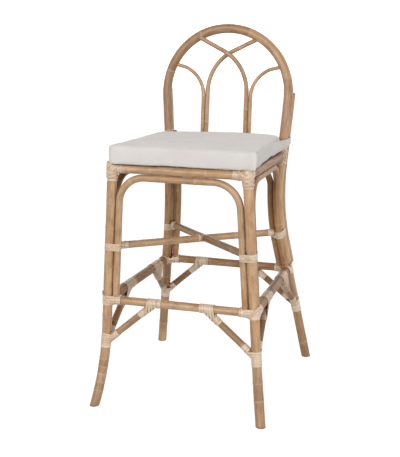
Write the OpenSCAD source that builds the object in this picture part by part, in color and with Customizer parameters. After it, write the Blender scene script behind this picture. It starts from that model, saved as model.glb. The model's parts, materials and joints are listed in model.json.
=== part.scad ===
// Rattan bar stool with a footrest frame, an arched back and a tied seat cushion.
// Millimetres, Z up, front toward -Y, origin on the floor under the middle of the feet.

/* [Seat] */
// Height of the front seat rail's centre line
seat_height = 690; // [680:1:700]
// Distance between the front leg centre lines at seat height
seat_front_width = 385; // [375:1:395]
// Distance from the origin forward to the front leg centre lines
front_line = 247; // [240:1:255]
// How much lower the rear seat rail sits than the front one
seat_drop = 18; // [14:1:20]
// Number of rods in the seat deck
slat_count = 10; // [8:2:10]

/* [Front legs] */
// Outward lean of the straight part of each front leg
front_splay = 3.35; // [3:0.05:4]
// Height at which the foot bend begins
foot_bend_start = 222; // [215:1:230]
// Radius of the foot bend
foot_bend_radius = 620; // [600:5:640]
// Direction of the foot bend, measured outward from straight ahead
foot_bend_heading = 19.5; // [15:0.5:25]

/* [Rear legs and back] */
// Half distance between the rear poles at their narrowest
waist_x = 174; // [170:1:178]
// Distance of that narrowest point behind the origin
waist_y = 178; // [172:1:184]
// Height of that narrowest point
waist_height = 560; // [556:1:564]
// Radius of the long bow around the narrowest point
bow_radius = 600; // [590:5:610]
// Direction in which the bow opens, measured from +X toward +Y
bow_heading = 56.4; // [54:0.2:58]
// Lean of the rear legs below the bow
lower_lean = 15.5; // [15:0.1:16]
// Lean of the uprights above the bow
upper_lean = 7.6; // [7:0.1:8]
// Height of the arch's centre line at its top
arch_height = 1044; // [1030:1:1055]

/* [Back infill] */
// Half distance between the two inner spindles
inner_spindle_x = 62.5; // [60:0.5:64]
// Height of the bend of the inner spindles
inner_spindle_bend = 940; // [936:1:944]
// Height of the bend of the outer spindles
outer_spindle_bend = 911; // [908:1:914]

/* [Footrest] */
// Height of the footrest rails' centre lines
foot_rail_height = 311; // [305:1:315]
// Height at which the front braces meet the legs
brace_height_front = 183; // [178:1:190]
// Height at which the rear braces meet the legs
brace_height_rear = 188; // [182:1:194]
// Height of the crossed stretchers at the front legs
stretcher_height_front = 467; // [460:1:475]
// Height of the crossed stretchers at the rear legs
stretcher_height_rear = 434; // [430:1:445]

/* [Pole diameters] */
// Legs, arch and doublers
leg_d = 28; // [27:0.5:28]
// Seat rails
seat_rail_d = 26; // [25:0.5:26]
// Hoops under the seat
hoop_d = 20; // [19:0.5:20]
// Crossed stretchers
stretcher_d = 21; // [20:0.5:21]
// Front and rear footrest rails
foot_rail_d = 24; // [23:0.5:24]
// Side footrest rails
side_foot_rail_d = 28; // [26:0.5:28]
// Braces under the footrest rails
brace_d = 20; // [18:0.5:20]
// Inner spindles of the back
inner_spindle_d = 13.5; // [12.5:0.5:13.5]
// Outer spindles of the back
outer_spindle_d = 11.5; // [10.5:0.5:11.5]
// Rods of the seat deck
slat_d = 12; // [10:0.5:12]

/* [Cushion] */
// Width of the cushion along its front edge
cushion_front_width = 412; // [400:1:420]
// Width of the cushion along its rear edge
cushion_rear_width = 384; // [376:1:392]
// Thickness of the cushion
cushion_height = 42; // [35:1:50]

/* [Bindings] */
// Thickness of the peel wound round a joint
wrap_thickness = 2; // [1.5:0.1:2]

/* [Hidden] */
$fn = 64;
gap = 0.3;
brace_clearance = 1;
bend_step = 0.15;
floor_cut = 60;
hoop_bend = 75;
hoop_lean = 1;
foot_turn = 22.5;
arc_tail = 10;
tool_length = 90;
left = -1;
right = 1;

doubler_offset = [0, leg_d + 1.7, 0];
doubler_low = 327;
doubler_high = 855;
leg_top = seat_height + seat_rail_d / 2 + 1;

hoop_gap = (leg_d + hoop_d) / 2 + gap;
hoop_gap_rear = hoop_gap / cos(lower_lean);
hoop_drop = (seat_rail_d + hoop_d) / 2 + gap;
hoop_top_front = seat_height - hoop_drop;
rear_rail_height = seat_height - seat_drop;
hoop_top_rear = rear_rail_height - hoop_drop;

brace_front_share = 0.33;
brace_rear_share = 0.30;
brace_side_front_share = 0.33;
brace_side_rear_share = 0.26;

slat_pitch = 35;
slat_front_margin = 9;
slat_rear_margin = 6;
cushion_front_overhang = 18;
cushion_rear_margin = 7;
cushion_chamfer = 10;
tie_thickness = 3;
tie_width = 24;
tie_height = 716;

wrap_reach = 28;
wrap_leg_up = 13;
wrap_leg_down = 34;
foot_wrap_half = 24;
foot_wrap_rear_up = 8;
band_half = 12;
brace_wrap_half = 17;
rail_wrap_half = 16;

pole_color = [0.76, 0.58, 0.40];
dark_pole_color = [0.55, 0.38, 0.23];
binding_color = [0.86, 0.74, 0.58];
cushion_color = [0.87, 0.85, 0.82];

// ---- vectors ----

function unit(v) = v / norm(v);
function lerp(a, b, t) = a + (b - a) * t;
function on_side(p, s) = [s * p.x, p.y, p.z];
function across(v, along) = unit(v - along * (v * along));

// ---- front leg: a leaning straight part, then a foot bent forward and outward ----

front_top = [seat_front_width / 2, -front_line, seat_height];
front_down = unit([tan(front_splay), 0, -1]);
foot_out = across([sin(foot_bend_heading), -cos(foot_bend_heading), 0], front_down);
foot_start = front_top - front_down * (seat_height - foot_bend_start) / front_down.z;
foot_down = front_down * cos(foot_turn) + foot_out * sin(foot_turn);
foot_reach = foot_bend_radius * tan(foot_turn / 2);
foot_corner = foot_start + front_down * foot_reach;

function foot_angle(z) = z > foot_bend_start ? 0
    : asin((foot_bend_start - z) / (-front_down.z * foot_bend_radius));
function front_at(z) = let (a = foot_angle(z))
    z > foot_bend_start ? front_top - front_down * (seat_height - z) / front_down.z
    : foot_start + foot_bend_radius * (front_down * sin(a) + foot_out * (1 - cos(a)));
function front_along(z) = let (a = foot_angle(z)) front_down * cos(a) + foot_out * sin(a);

// ---- rear pole: leg, long bow, leaning upright ----

bow_out = [cos(bow_heading), sin(bow_heading), 0];
waist = [waist_x, waist_y, waist_height];
lower_down = bow_out * sin(lower_lean) - [0, 0, cos(lower_lean)];
upper_up = bow_out * sin(upper_lean) + [0, 0, cos(upper_lean)];

function bow_point(a) = waist + bow_radius * (bow_out * (1 - cos(a)) + [0, 0, sin(a)]);
function bow_corner(upper) = bow_point(-lower_lean)
    - lower_down * bow_radius * tan((lower_lean + upper) / 2);
function bow_angle(z) = asin((z - waist_height) / bow_radius);
function below_bow(z) = let (p = bow_point(-lower_lean)) p + lower_down * (p.z - z) / cos(lower_lean);
function above_bow(z) = let (p = bow_point(upper_lean)) p + upper_up * (z - p.z) / cos(upper_lean);
function rear_at(z) = z < bow_point(-lower_lean).z ? below_bow(z)
    : z > bow_point(upper_lean).z ? above_bow(z)
    : bow_point(bow_angle(z));
function rear_along(z) = z < bow_point(-lower_lean).z ? lower_down
    : z > bow_point(upper_lean).z ? upper_up
    : let (a = bow_angle(z)) bow_out * sin(a) + [0, 0, cos(a)];

arch_corner = above_bow(arch_height);
arch_turn = acos(-upper_up.x);
arch_radius = arch_corner.x / tan(arch_turn / 2);
arch_spring = arch_corner - upper_up * arch_corner.x;
arch_middle = arch_spring + across([-1, 0, 0], upper_up) * arch_radius;

// ---- the leaning plane of the back: x across, z height, off = distance behind the plane ----

back_slope = upper_up.y / upper_up.z;
back_normal = unit([0, 1, -back_slope]);
function in_back(x, z, off) = [x, above_bow(z).y, z] + back_normal * off;

// ---- points shared by the rails ----

function leg_at(z, s, is_front) = on_side(is_front ? front_at(z) : rear_at(z), s);
function leg_along(z, s, is_front) = on_side(is_front ? front_along(z) : rear_along(z), s);
function toward_middle(s, is_front) = [-s, 0, 0] * (is_front ? hoop_gap / cos(front_splay) : hoop_gap_rear);
function toward_side(is_front) = [0, is_front ? hoop_gap : -hoop_gap_rear, 0];

// ---- solids every pole is made of ----

module rod(a, b, d) {
    v = b - a;
    translate(a)
        rotate([0, acos(v.z / norm(v)), atan2(v.y, v.x)])
            cylinder(d = d, h = norm(v));
}

module rod_about(p, along, half, d) {
    rod(p - along * half, p + along * half, d);
}

module arc_about(c, start, from, turn, d) {
    r = norm(start - c);
    out = unit(start - c);
    up = cross(out, from);
    multmatrix([
        [out.x, from.x, up.x, c.x],
        [out.y, from.y, up.y, c.y],
        [out.z, from.z, up.z, c.z]
    ])
        rotate_extrude(angle = turn)
            translate([r, 0])
                circle(d = d);
}

module bend_arc(corner, from, to, r, d) {
    turn = acos(from * to);
    start = corner - from * r * tan(turn / 2);
    arc_about(start + across(to, from) * r, start, from, turn, d + 2 * bend_step);
}

function turn_at(path, i) = acos(unit(path[i] - path[i - 1]) * unit(path[i + 1] - path[i]));
function trim_at(path, bends, i) = i == 0 || i == len(path) - 1 ? 0
    : bends[i - 1] * tan(turn_at(path, i) / 2) - sqrt(bend_step * bends[i - 1]);

// Straight parts run a little way into the slightly thicker bends.
module pole(path, bends, d) {
    last = len(path) - 1;
    for (i = [0 : last - 1]) {
        u = unit(path[i + 1] - path[i]);
        rod(path[i] + u * trim_at(path, bends, i), path[i + 1] - u * trim_at(path, bends, i + 1), d);
    }
    for (i = [1 : 1 : last - 1])
        bend_arc(path[i], unit(path[i] - path[i - 1]), unit(path[i + 1] - path[i]), bends[i - 1], d);
}

module floor_block() {
    translate([-floor_cut * 10, -floor_cut * 10, -floor_cut])
        cube([floor_cut * 20, floor_cut * 20, floor_cut]);
}

// ---- cutting tools: a short straight stand-in for the pole at one height ----

module leg_tool(z, s, is_front, extra) {
    rod_about(leg_at(z, s, is_front), leg_along(z, s, is_front), tool_length, leg_d + 2 * extra);
}

module hoop_tools(z, s, is_front, extra, below = tool_length / 2) {
    p = leg_at(z, s, is_front);
    along = leg_along(z, s, is_front);
    up = along.z > 0 ? along : -along;
    for (shift = [toward_middle(s, is_front), toward_side(is_front)])
        rod(p + shift - up * below, p + shift + up * tool_length / 2, hoop_d + 2 * extra);
}

// ---- legs, arch and doublers ----

module front_leg(s) {
    color(pole_color)
        difference() {
            pole([
                on_side(front_at(leg_top), s),
                on_side(foot_corner, s),
                on_side(foot_corner + foot_down * (foot_reach + arc_tail), s)
            ], [foot_bend_radius], leg_d);
            floor_block();
        }
}

module front_leg_left() {
    front_leg(left);
}

module front_leg_right() {
    front_leg(right);
}

module arch(extra) {
    arc_about(arch_middle, arch_spring, upper_up, 2 * arch_turn, leg_d + 2 * extra);
}

module rear_frame() {
    color(pole_color)
        difference() {
            union() {
                for (s = [left, right])
                    pole([
                        on_side(arch_spring + upper_up * sqrt(bend_step * arch_radius), s),
                        on_side(bow_corner(upper_lean), s),
                        on_side(below_bow(-2 * arc_tail), s)
                    ], [bow_radius], leg_d);
                arch(bend_step);
            }
            floor_block();
        }
}

module doubler(s) {
    color(pole_color)
        pole([
            on_side(below_bow(doubler_low) + doubler_offset, s),
            on_side(bow_corner(upper_lean) + doubler_offset, s),
            on_side(above_bow(doubler_high) + doubler_offset, s)
        ], [bow_radius], leg_d);
}

module doubler_left() {
    doubler(left);
}

module doubler_right() {
    doubler(right);
}

// ---- rails between the legs ----

module cross_rail(z, d, is_front) {
    difference() {
        rod(leg_at(z, left, is_front), leg_at(z, right, is_front), d);
        leg_tool(z, left, is_front, gap);
        leg_tool(z, right, is_front, gap);
    }
}

module side_rail(z_front, z_rear, d, neighbour_d, s) {
    a = leg_at(z_front, s, true);
    b = leg_at(z_rear, s, false);
    u = unit(b - a);
    inset = neighbour_d / 2 + 1;
    difference() {
        rod(a + u * inset, b - u * inset, d);
        leg_tool(z_front, s, true, gap);
        leg_tool(z_rear, s, false, gap);
    }
}

module seat_rail_front() {
    color(pole_color)
        cross_rail(seat_height, seat_rail_d, true);
}

module seat_rail_rear() {
    color(dark_pole_color)
        cross_rail(rear_rail_height, seat_rail_d, false);
}

module seat_rail_left() {
    color(dark_pole_color)
        side_rail(seat_height, rear_rail_height, seat_rail_d, seat_rail_d, left);
}

module seat_rail_right() {
    color(dark_pole_color)
        side_rail(seat_height, rear_rail_height, seat_rail_d, seat_rail_d, right);
}

module foot_rail_front() {
    color(pole_color)
        cross_rail(foot_rail_height, foot_rail_d, true);
}

module foot_rail_rear() {
    color(dark_pole_color)
        cross_rail(foot_rail_height, foot_rail_d, false);
}

module foot_rail_left() {
    color(dark_pole_color)
        side_rail(foot_rail_height, foot_rail_height, side_foot_rail_d, foot_rail_d, left);
}

module foot_rail_right() {
    color(dark_pole_color)
        side_rail(foot_rail_height, foot_rail_height, side_foot_rail_d, foot_rail_d, right);
}

// ---- hoops: up one leg, under the seat rail, down the next leg, standing on a footrest rail ----

module cross_hoop(is_front) {
    top = is_front ? hoop_top_front : hoop_top_rear;
    low = [for (s = [left, right]) leg_at(foot_rail_height, s, is_front) + toward_middle(s, is_front)];
    high = [for (s = [left, right])
        on_side(is_front ? front_at(top) : hoop_rear_corner(), s) + toward_middle(s, is_front)];
    middle = [for (s = [left, right]) on_side(bow_corner(hoop_lean), s) + toward_middle(s, is_front)];
    difference() {
        if (is_front)
            pole([low[0], high[0], high[1], low[1]], [hoop_bend, hoop_bend], hoop_d);
        else
            pole([low[0], middle[0], high[0], high[1], middle[1], low[1]],
                [bow_radius, hoop_bend, hoop_bend, bow_radius], hoop_d);
        rod(leg_at(foot_rail_height, left, is_front), leg_at(foot_rail_height, right, is_front),
            foot_rail_d + 2 * gap);
    }
}

function hoop_rear_corner() = let (p = bow_point(hoop_lean), up = bow_out * sin(hoop_lean) + [0, 0, cos(hoop_lean)])
    p + up * (hoop_top_rear - p.z) / up.z;

module side_hoop(s) {
    difference() {
        pole([
            leg_at(foot_rail_height, s, true) + toward_side(true),
            leg_at(hoop_top_front, s, true) + toward_side(true),
            on_side(hoop_rear_corner(), s) + toward_side(false),
            on_side(bow_corner(hoop_lean), s) + toward_side(false),
            leg_at(foot_rail_height, s, false) + toward_side(false)
        ], [hoop_bend, hoop_bend, bow_radius], hoop_d);
        rod(leg_at(foot_rail_height, s, true), leg_at(foot_rail_height, s, false),
            side_foot_rail_d + 2 * gap);
    }
}

module hoop_front() {
    color(pole_color)
        cross_hoop(true);
}

module hoop_rear() {
    color(dark_pole_color)
        cross_hoop(false);
}

module hoop_left() {
    color(dark_pole_color)
        side_hoop(left);
}

module hoop_right() {
    color(dark_pole_color)
        side_hoop(right);
}

// ---- crossed stretchers: one long pole and two halves butted against it ----

function stretcher_end(s, is_front) =
    leg_at(is_front ? stretcher_height_front : stretcher_height_rear, s, is_front);
function stretcher_share() = let (a = stretcher_end(right, true).x, b = stretcher_end(right, false).x)
    a / (a + b);
stretcher_cross = lerp(stretcher_end(left, true), stretcher_end(right, false), stretcher_share());

module stretcher_tools(s, is_front) {
    z = is_front ? stretcher_height_front : stretcher_height_rear;
    leg_tool(z, s, is_front, 2 * gap);
    hoop_tools(z, s, is_front, 2 * gap);
}

module stretcher_long() {
    color(pole_color)
        difference() {
            rod(stretcher_end(left, true), stretcher_end(right, false), stretcher_d);
            stretcher_tools(left, true);
            stretcher_tools(right, false);
        }
}

module stretcher_half(s, is_front) {
    color(dark_pole_color)
        difference() {
            rod(stretcher_end(s, is_front), stretcher_cross, stretcher_d);
            stretcher_tools(s, is_front);
            rod(stretcher_end(left, true), stretcher_end(right, false), stretcher_d + 2 * gap);
        }
}

module stretcher_half_front() {
    stretcher_half(right, true);
}

module stretcher_half_rear() {
    stretcher_half(left, false);
}

// ---- braces from the footrest rails down to the legs ----

function rail_share(s, is_front) = is_front ? brace_front_share : brace_rear_share;
function cross_brace_top(s, is_front) =
    lerp(leg_at(foot_rail_height, s, is_front), leg_at(foot_rail_height, -s, is_front), rail_share(s, is_front));
function side_brace_top(s, is_front) =
    lerp(leg_at(foot_rail_height, s, is_front), leg_at(foot_rail_height, s, !is_front),
        is_front ? brace_side_front_share : brace_side_rear_share);
function brace_foot(s, is_front) = leg_at(is_front ? brace_height_front : brace_height_rear, s, is_front);

module brace(top, s, is_front, rail_end, rail_d) {
    z = is_front ? brace_height_front : brace_height_rear;
    color(pole_color)
        difference() {
            rod(top, brace_foot(s, is_front), brace_d);
            leg_tool(z, s, is_front, brace_clearance);
            rod(leg_at(foot_rail_height, s, is_front), rail_end, rail_d + 2 * gap);
        }
}

module cross_brace(s, is_front) {
    brace(cross_brace_top(s, is_front), s, is_front,
        leg_at(foot_rail_height, -s, is_front), foot_rail_d);
}

module side_brace(s, is_front) {
    brace(side_brace_top(s, is_front), s, is_front,
        leg_at(foot_rail_height, s, !is_front), side_foot_rail_d);
}

module brace_front_left() {
    cross_brace(left, true);
}

module brace_front_right() {
    cross_brace(right, true);
}

module brace_rear_left() {
    cross_brace(left, false);
}

module brace_rear_right() {
    cross_brace(right, false);
}

module brace_side_left_front() {
    side_brace(left, true);
}

module brace_side_left_rear() {
    side_brace(left, false);
}

module brace_side_right_front() {
    side_brace(right, true);
}

module brace_side_right_rear() {
    side_brace(right, false);
}

// ---- spindles in the back ----

spindle_foot = rear_rail_height + 3;
inner_rise = 26.5;
inner_radius = 137;
inner_end_x = 92;
inner_bend_off = 5.5;
inner_end_off = 10.5;
outer_rise = 14;
outer_radius = 91;
outer_end_x = 175;
outer_spindle_x = inner_spindle_x + (inner_spindle_d + outer_spindle_d) / 2 + gap;

module rear_rail_tool() {
    rod(leg_at(rear_rail_height, left, false), leg_at(rear_rail_height, right, false), seat_rail_d + 2 * gap);
}

module spindle_inner(s, off_side) {
    rise = (inner_spindle_x + inner_end_x) * tan(inner_rise);
    color(pole_color)
        difference() {
            pole([
                in_back(s * inner_spindle_x, spindle_foot, 0),
                in_back(s * inner_spindle_x, inner_spindle_bend, off_side * inner_bend_off),
                in_back(-s * inner_end_x, inner_spindle_bend + rise, off_side * inner_end_off)
            ], [inner_radius], inner_spindle_d);
            arch(bend_step + gap);
            rear_rail_tool();
        }
}

module spindle_outer(s) {
    rise = (outer_end_x - outer_spindle_x) * tan(outer_rise);
    color(pole_color)
        difference() {
            pole([
                in_back(s * outer_spindle_x, spindle_foot, 0),
                in_back(s * outer_spindle_x, outer_spindle_bend, 0),
                in_back(s * outer_end_x, outer_spindle_bend + rise, 0)
            ], [outer_radius], outer_spindle_d);
            arch(bend_step + gap);
            rear_rail_tool();
        }
}

module spindle_inner_left() {
    spindle_inner(left, 1);
}

module spindle_inner_right() {
    spindle_inner(right, -1);
}

module spindle_outer_left() {
    spindle_outer(left);
}

module spindle_outer_right() {
    spindle_outer(right);
}

// ---- seat deck, cushion and ties ----

rear_rail_y = rear_at(rear_rail_height).y;
deck_slope = atan(seat_drop / (rear_rail_y + front_line));
deck_lift = (seat_rail_d + slat_d) / 2 + gap;

function deck_height(y) = seat_height - (y + front_line) * tan(deck_slope);

module seat_slats() {
    a = -front_line - slat_front_margin;
    b = rear_rail_y - slat_rear_margin;
    color(pole_color)
        for (i = [0 : slat_count - 1]) {
            x = (i - (slat_count - 1) / 2) * slat_pitch;
            rod([x, a, deck_height(a) + deck_lift], [x, b, deck_height(b) + deck_lift], slat_d);
        }
}

module tie_ring(s, extra, half) {
    p = on_side(rear_at(tie_height), s);
    along = on_side(upper_up, s);
    rod_about(p, along, half, leg_d + 2 * extra);
    rod_about(p + doubler_offset, along, half, leg_d + 2 * extra);
}

module cushion() {
    f = -front_line - cushion_front_overhang;
    b = rear_rail_y - cushion_rear_margin;
    lift = seat_rail_d / 2 + slat_d + 2 * gap;
    color(cushion_color)
        difference() {
            translate([0, f, deck_height(f) + lift])
                rotate([-deck_slope, 0, 0])
                    linear_extrude(cushion_height)
                        polygon([
                            [-cushion_front_width / 2 + cushion_chamfer, 0],
                            [cushion_front_width / 2 - cushion_chamfer, 0],
                            [cushion_front_width / 2, cushion_chamfer],
                            [cushion_rear_width / 2, b - f],
                            [-cushion_rear_width / 2, b - f],
                            [-cushion_front_width / 2, cushion_chamfer]
                        ]);
            tie_ring(left, tie_thickness + 3 * gap, tool_length);
            tie_ring(right, tie_thickness + 3 * gap, tool_length);
        }
}

module tie(s) {
    color(cushion_color)
        difference() {
            tie_ring(s, tie_thickness, tie_width / 2);
            tie_ring(s, gap, tie_width);
        }
}

module tie_left() {
    tie(left);
}

module tie_right() {
    tie(right);
}

// ---- bindings of split peel ----

module wrap_round(p, along, half, d) {
    rod_about(p, along, half, d + 2 * wrap_thickness);
}

module rail_stub(p, toward, reach, d) {
    rod(p, p + toward * reach, d + 2 * wrap_thickness - gap);
}

module corner_binding(z, s, is_front, other_z, cross_d, side_d, up, down) {
    p = leg_at(z, s, is_front);
    along = leg_along(z, s, is_front);
    top_dir = along.z > 0 ? along : -along;
    q = leg_at(other_z, s, !is_front);
    difference() {
        union() {
            rod(p - top_dir * down, p + top_dir * up, leg_d + 2 * wrap_thickness);
            rail_stub(p, [-s, 0, 0], wrap_reach, cross_d);
            rail_stub(p, unit(q - p), wrap_reach, side_d);
        }
        leg_tool(z, s, is_front, 2 * gap);
        rod(p, p + [-s, 0, 0] * tool_length, cross_d + 2 * gap);
        rod(p, p + unit(q - p) * tool_length, side_d + 2 * gap);
    }
}

module seat_bindings() {
    color(binding_color)
        for (s = [left, right]) {
            corner_binding(seat_height, s, true, rear_rail_height,
                seat_rail_d, seat_rail_d, wrap_leg_up, wrap_leg_down);
            difference() {
                corner_binding(rear_rail_height, s, false, seat_height,
                    seat_rail_d, seat_rail_d, foot_wrap_half, foot_wrap_half);
                rod_about(leg_at(rear_rail_height, s, false) + doubler_offset,
                    leg_along(rear_rail_height, s, false), tool_length, leg_d + 2 * gap);
            }
        }
}

module foot_corner_bindings() {
    color(binding_color)
        for (s = [left, right], is_front = [true, false])
            difference() {
                corner_binding(foot_rail_height, s, is_front, foot_rail_height,
                    foot_rail_d, side_foot_rail_d, is_front ? foot_wrap_half : foot_wrap_rear_up, foot_wrap_half);
                hoop_tools(foot_rail_height, s, is_front, gap, foot_rail_d / 4);
            }
}

module stretcher_bindings() {
    color(binding_color)
        for (s = [left, right], is_front = [true, false]) {
            z = is_front ? stretcher_height_front : stretcher_height_rear;
            p = leg_at(z, s, is_front);
            along = leg_along(z, s, is_front);
            difference() {
                union() {
                    wrap_round(p, along, band_half, leg_d);
                    wrap_round(p + toward_middle(s, is_front), along, band_half, hoop_d);
                    wrap_round(p + toward_side(is_front), along, band_half, hoop_d);
                    rail_stub(p, unit(stretcher_cross - p), 2 * wrap_reach, stretcher_d);
                }
                leg_tool(z, s, is_front, 2 * gap);
                hoop_tools(z, s, is_front, 2 * gap);
                rod(p, stretcher_cross, stretcher_d + 2 * gap);
                if (!is_front)
                    rod_about(p + doubler_offset, along, tool_length, leg_d + 4 * gap);
            }
        }
}

module brace_rail_wrap(top, s, is_front, rail_end, rail_d) {
    a = leg_at(foot_rail_height, s, is_front);
    u = unit(rail_end - a);
    v = unit(brace_foot(s, is_front) - top);
    difference() {
        union() {
            wrap_round(top, u, rail_wrap_half, rail_d);
            rail_stub(top, v, wrap_reach, brace_d);
        }
        rod(a, rail_end, rail_d + 2 * gap);
        rod(top, brace_foot(s, is_front), brace_d + 2 * gap);
    }
}

module brace_rail_bindings() {
    color(binding_color)
        for (s = [left, right], is_front = [true, false]) {
            brace_rail_wrap(cross_brace_top(s, is_front), s, is_front,
                leg_at(foot_rail_height, -s, is_front), foot_rail_d);
            brace_rail_wrap(side_brace_top(s, is_front), s, is_front,
                leg_at(foot_rail_height, s, !is_front), side_foot_rail_d);
        }
}

module brace_leg_bindings() {
    color(binding_color)
        for (s = [left, right], is_front = [true, false]) {
            z = is_front ? brace_height_front : brace_height_rear;
            p = leg_at(z, s, is_front);
            difference() {
                union() {
                    wrap_round(p, leg_along(z, s, is_front), brace_wrap_half, leg_d);
                    rail_stub(p, unit(cross_brace_top(s, is_front) - p), wrap_reach, brace_d);
                    rail_stub(p, unit(side_brace_top(s, is_front) - p), wrap_reach, brace_d);
                }
                leg_tool(z, s, is_front, 2 * gap);
                rod(p, cross_brace_top(s, is_front), brace_d + 2 * gap);
                rod(p, side_brace_top(s, is_front), brace_d + 2 * gap);
            }
        }
}

// ---- the stool ----

front_leg_left();
front_leg_right();
rear_frame();
doubler_left();
doubler_right();
seat_rail_front();
seat_rail_rear();
seat_rail_left();
seat_rail_right();
hoop_front();
hoop_rear();
hoop_left();
hoop_right();
stretcher_long();
stretcher_half_front();
stretcher_half_rear();
foot_rail_front();
foot_rail_rear();
foot_rail_left();
foot_rail_right();
brace_front_left();
brace_front_right();
brace_rear_left();
brace_rear_right();
brace_side_left_front();
brace_side_left_rear();
brace_side_right_front();
brace_side_right_rear();
spindle_inner_left();
spindle_inner_right();
spindle_outer_left();
spindle_outer_right();
seat_slats();
cushion();
tie_left();
tie_right();
seat_bindings();
stretcher_bindings();
foot_corner_bindings();
brace_rail_bindings();
brace_leg_bindings();
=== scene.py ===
"""A rattan bar stool: poles, wound peel, a tied cushion and a studio. Metres, Z up, the front toward -Y."""
import json
import math
import zlib

import bpy
import numpy as np
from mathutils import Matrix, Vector, noise
from mathutils.kdtree import KDTree

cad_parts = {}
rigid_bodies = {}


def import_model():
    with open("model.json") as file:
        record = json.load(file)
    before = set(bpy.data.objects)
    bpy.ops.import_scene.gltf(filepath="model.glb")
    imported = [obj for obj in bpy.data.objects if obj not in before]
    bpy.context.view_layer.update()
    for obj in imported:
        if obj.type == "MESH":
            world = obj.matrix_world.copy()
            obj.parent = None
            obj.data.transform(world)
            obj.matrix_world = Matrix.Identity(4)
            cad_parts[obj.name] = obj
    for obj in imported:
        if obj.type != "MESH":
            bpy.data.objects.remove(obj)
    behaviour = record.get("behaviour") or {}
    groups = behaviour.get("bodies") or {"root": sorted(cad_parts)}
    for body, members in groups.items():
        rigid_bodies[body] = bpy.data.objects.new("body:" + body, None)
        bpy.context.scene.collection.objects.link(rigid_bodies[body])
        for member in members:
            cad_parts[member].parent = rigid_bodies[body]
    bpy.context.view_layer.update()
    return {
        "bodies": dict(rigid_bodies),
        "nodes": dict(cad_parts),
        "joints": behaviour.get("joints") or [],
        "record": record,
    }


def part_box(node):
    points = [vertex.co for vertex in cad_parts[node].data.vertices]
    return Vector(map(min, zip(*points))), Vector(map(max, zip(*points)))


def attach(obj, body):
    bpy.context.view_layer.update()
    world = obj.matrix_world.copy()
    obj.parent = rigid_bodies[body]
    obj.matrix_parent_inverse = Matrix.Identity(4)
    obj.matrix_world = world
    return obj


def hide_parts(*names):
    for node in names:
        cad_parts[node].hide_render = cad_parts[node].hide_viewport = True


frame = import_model()
BODY = "root"
LEFT, RIGHT = -1, 1
SIDES = ((LEFT, "left"), (RIGHT, "right"))
ENDS = ((True, "front"), (False, "rear"))
TURN = 2 * math.pi
UP = np.array([0.0, 0.0, 1.0])


# ---- small helpers ----

def vec(*values):
    return np.array(values, float)


def unit(v):
    return v / np.linalg.norm(v)


def across(v, along):
    """The part of v square to along, at unit length."""
    return unit(v - along * (v @ along))


def mirrored(point, side):
    return point * vec(side, 1, 1)


def mix(a, b, t):
    return a + (b - a) * t


def randoms(name):
    """A random stream of its own for each named piece, the same on every run."""
    return np.random.default_rng(zlib.crc32(name.encode()))


def node_middle(node, axis):
    low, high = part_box(node)
    return (low[axis] + high[axis]) / 2


FORWARD = vec(0, -1, 0)
ODD_WAY = vec(0.31, 0.23, 0.92)  # nothing here runs along it, so cross directions start from it


def ways_round(axis, count):
    """Evenly spaced directions square to an axis."""
    u = across(ODD_WAY, axis)
    theta = np.linspace(0, TURN, count, endpoint=False)
    return np.outer(np.cos(theta), u) + np.outer(np.sin(theta), np.cross(axis, u))


def layers(shape, *values):
    """A vector for every point of an array, from values that each spread over it."""
    return np.stack([np.broadcast_to(v, shape) for v in values], -1)


def numbered(rows, columns):
    return np.arange(rows * columns).reshape(rows, columns)


def loft(rings):
    """Quads between neighbouring closed rings, given as rows of point numbers."""
    after = np.roll(rings, -1, axis=1)
    return np.stack([rings[:-1], after[:-1], after[1:], rings[1:]], -1).reshape(-1, 4)


def capped_loft(rings):
    return loft(rings).tolist() + [rings[0][::-1].tolist(), rings[-1].tolist()]


# ---- driving dimensions, as in the CAD frame ----

SEAT_Z = node_middle("seat_rail_front", 2)
REAR_RAIL_Z = node_middle("seat_rail_rear", 2)
FOOT_RAIL_Z = node_middle("foot_rail_front", 2)
FRONT_Y = node_middle("seat_rail_front", 1)
REAR_RAIL_Y = node_middle("seat_rail_rear", 1)

LEG_R = 0.014
SEAT_RAIL_R = 0.013
HOOP_R = 0.010
STRETCHER_R = 0.0105
FOOT_RAIL_R = 0.012
SIDE_FOOT_RAIL_R = 0.014
BRACE_R = 0.010
INNER_SPINDLE_R = 0.00675
OUTER_SPINDLE_R = 0.00575
SLAT_R = 0.006

FRONT_HALF_WIDTH = 0.1925
FRONT_SPLAY = math.radians(3.35)
FOOT_BEND_Z = 0.222
FOOT_BEND_R = 0.620
FOOT_BEND_HEADING = math.radians(19.5)
FOOT_TURN = math.radians(22.5)
LEG_TOP_Z = SEAT_Z + SEAT_RAIL_R + 0.001

WAIST = vec(0.174, 0.178, 0.560)
BOW_R = 0.600
BOW_HEADING = math.radians(56.4)
LOWER_LEAN = math.radians(15.5)
UPPER_LEAN = math.radians(7.6)
ARCH_Z = 1.044
DOUBLER_SHIFT = vec(0, 0.0297, 0)
LEFT_DOUBLER_SHIFT = vec(-0.0075, 0.0288, 0)
DOUBLER_LOW, DOUBLER_HIGH = 0.327, 0.855

HOOP_BEND = 0.075
HOOP_LEAN = math.radians(1)
HOOP_GAP = 0.0243
HOOP_DROP = 0.0233

# Heights, and shares of the rail from the corner, under a key that is True at the front.
SEAT_RAIL_Z = {True: SEAT_Z, False: REAR_RAIL_Z}
STRETCHER_Z = {True: 0.467, False: 0.434}
BRACE_Z = {True: 0.183, False: 0.188}
BRACE_SHARES = {(True, "cross"): 0.33, (False, "cross"): 0.30, (True, "side"): 0.33, (False, "side"): 0.26}

SLAT_COUNT, SLAT_PITCH = 10, 0.035
DECK_LIFT = SEAT_RAIL_R + SLAT_R + 0.0003


# ---- centre lines of the frame ----

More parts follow.
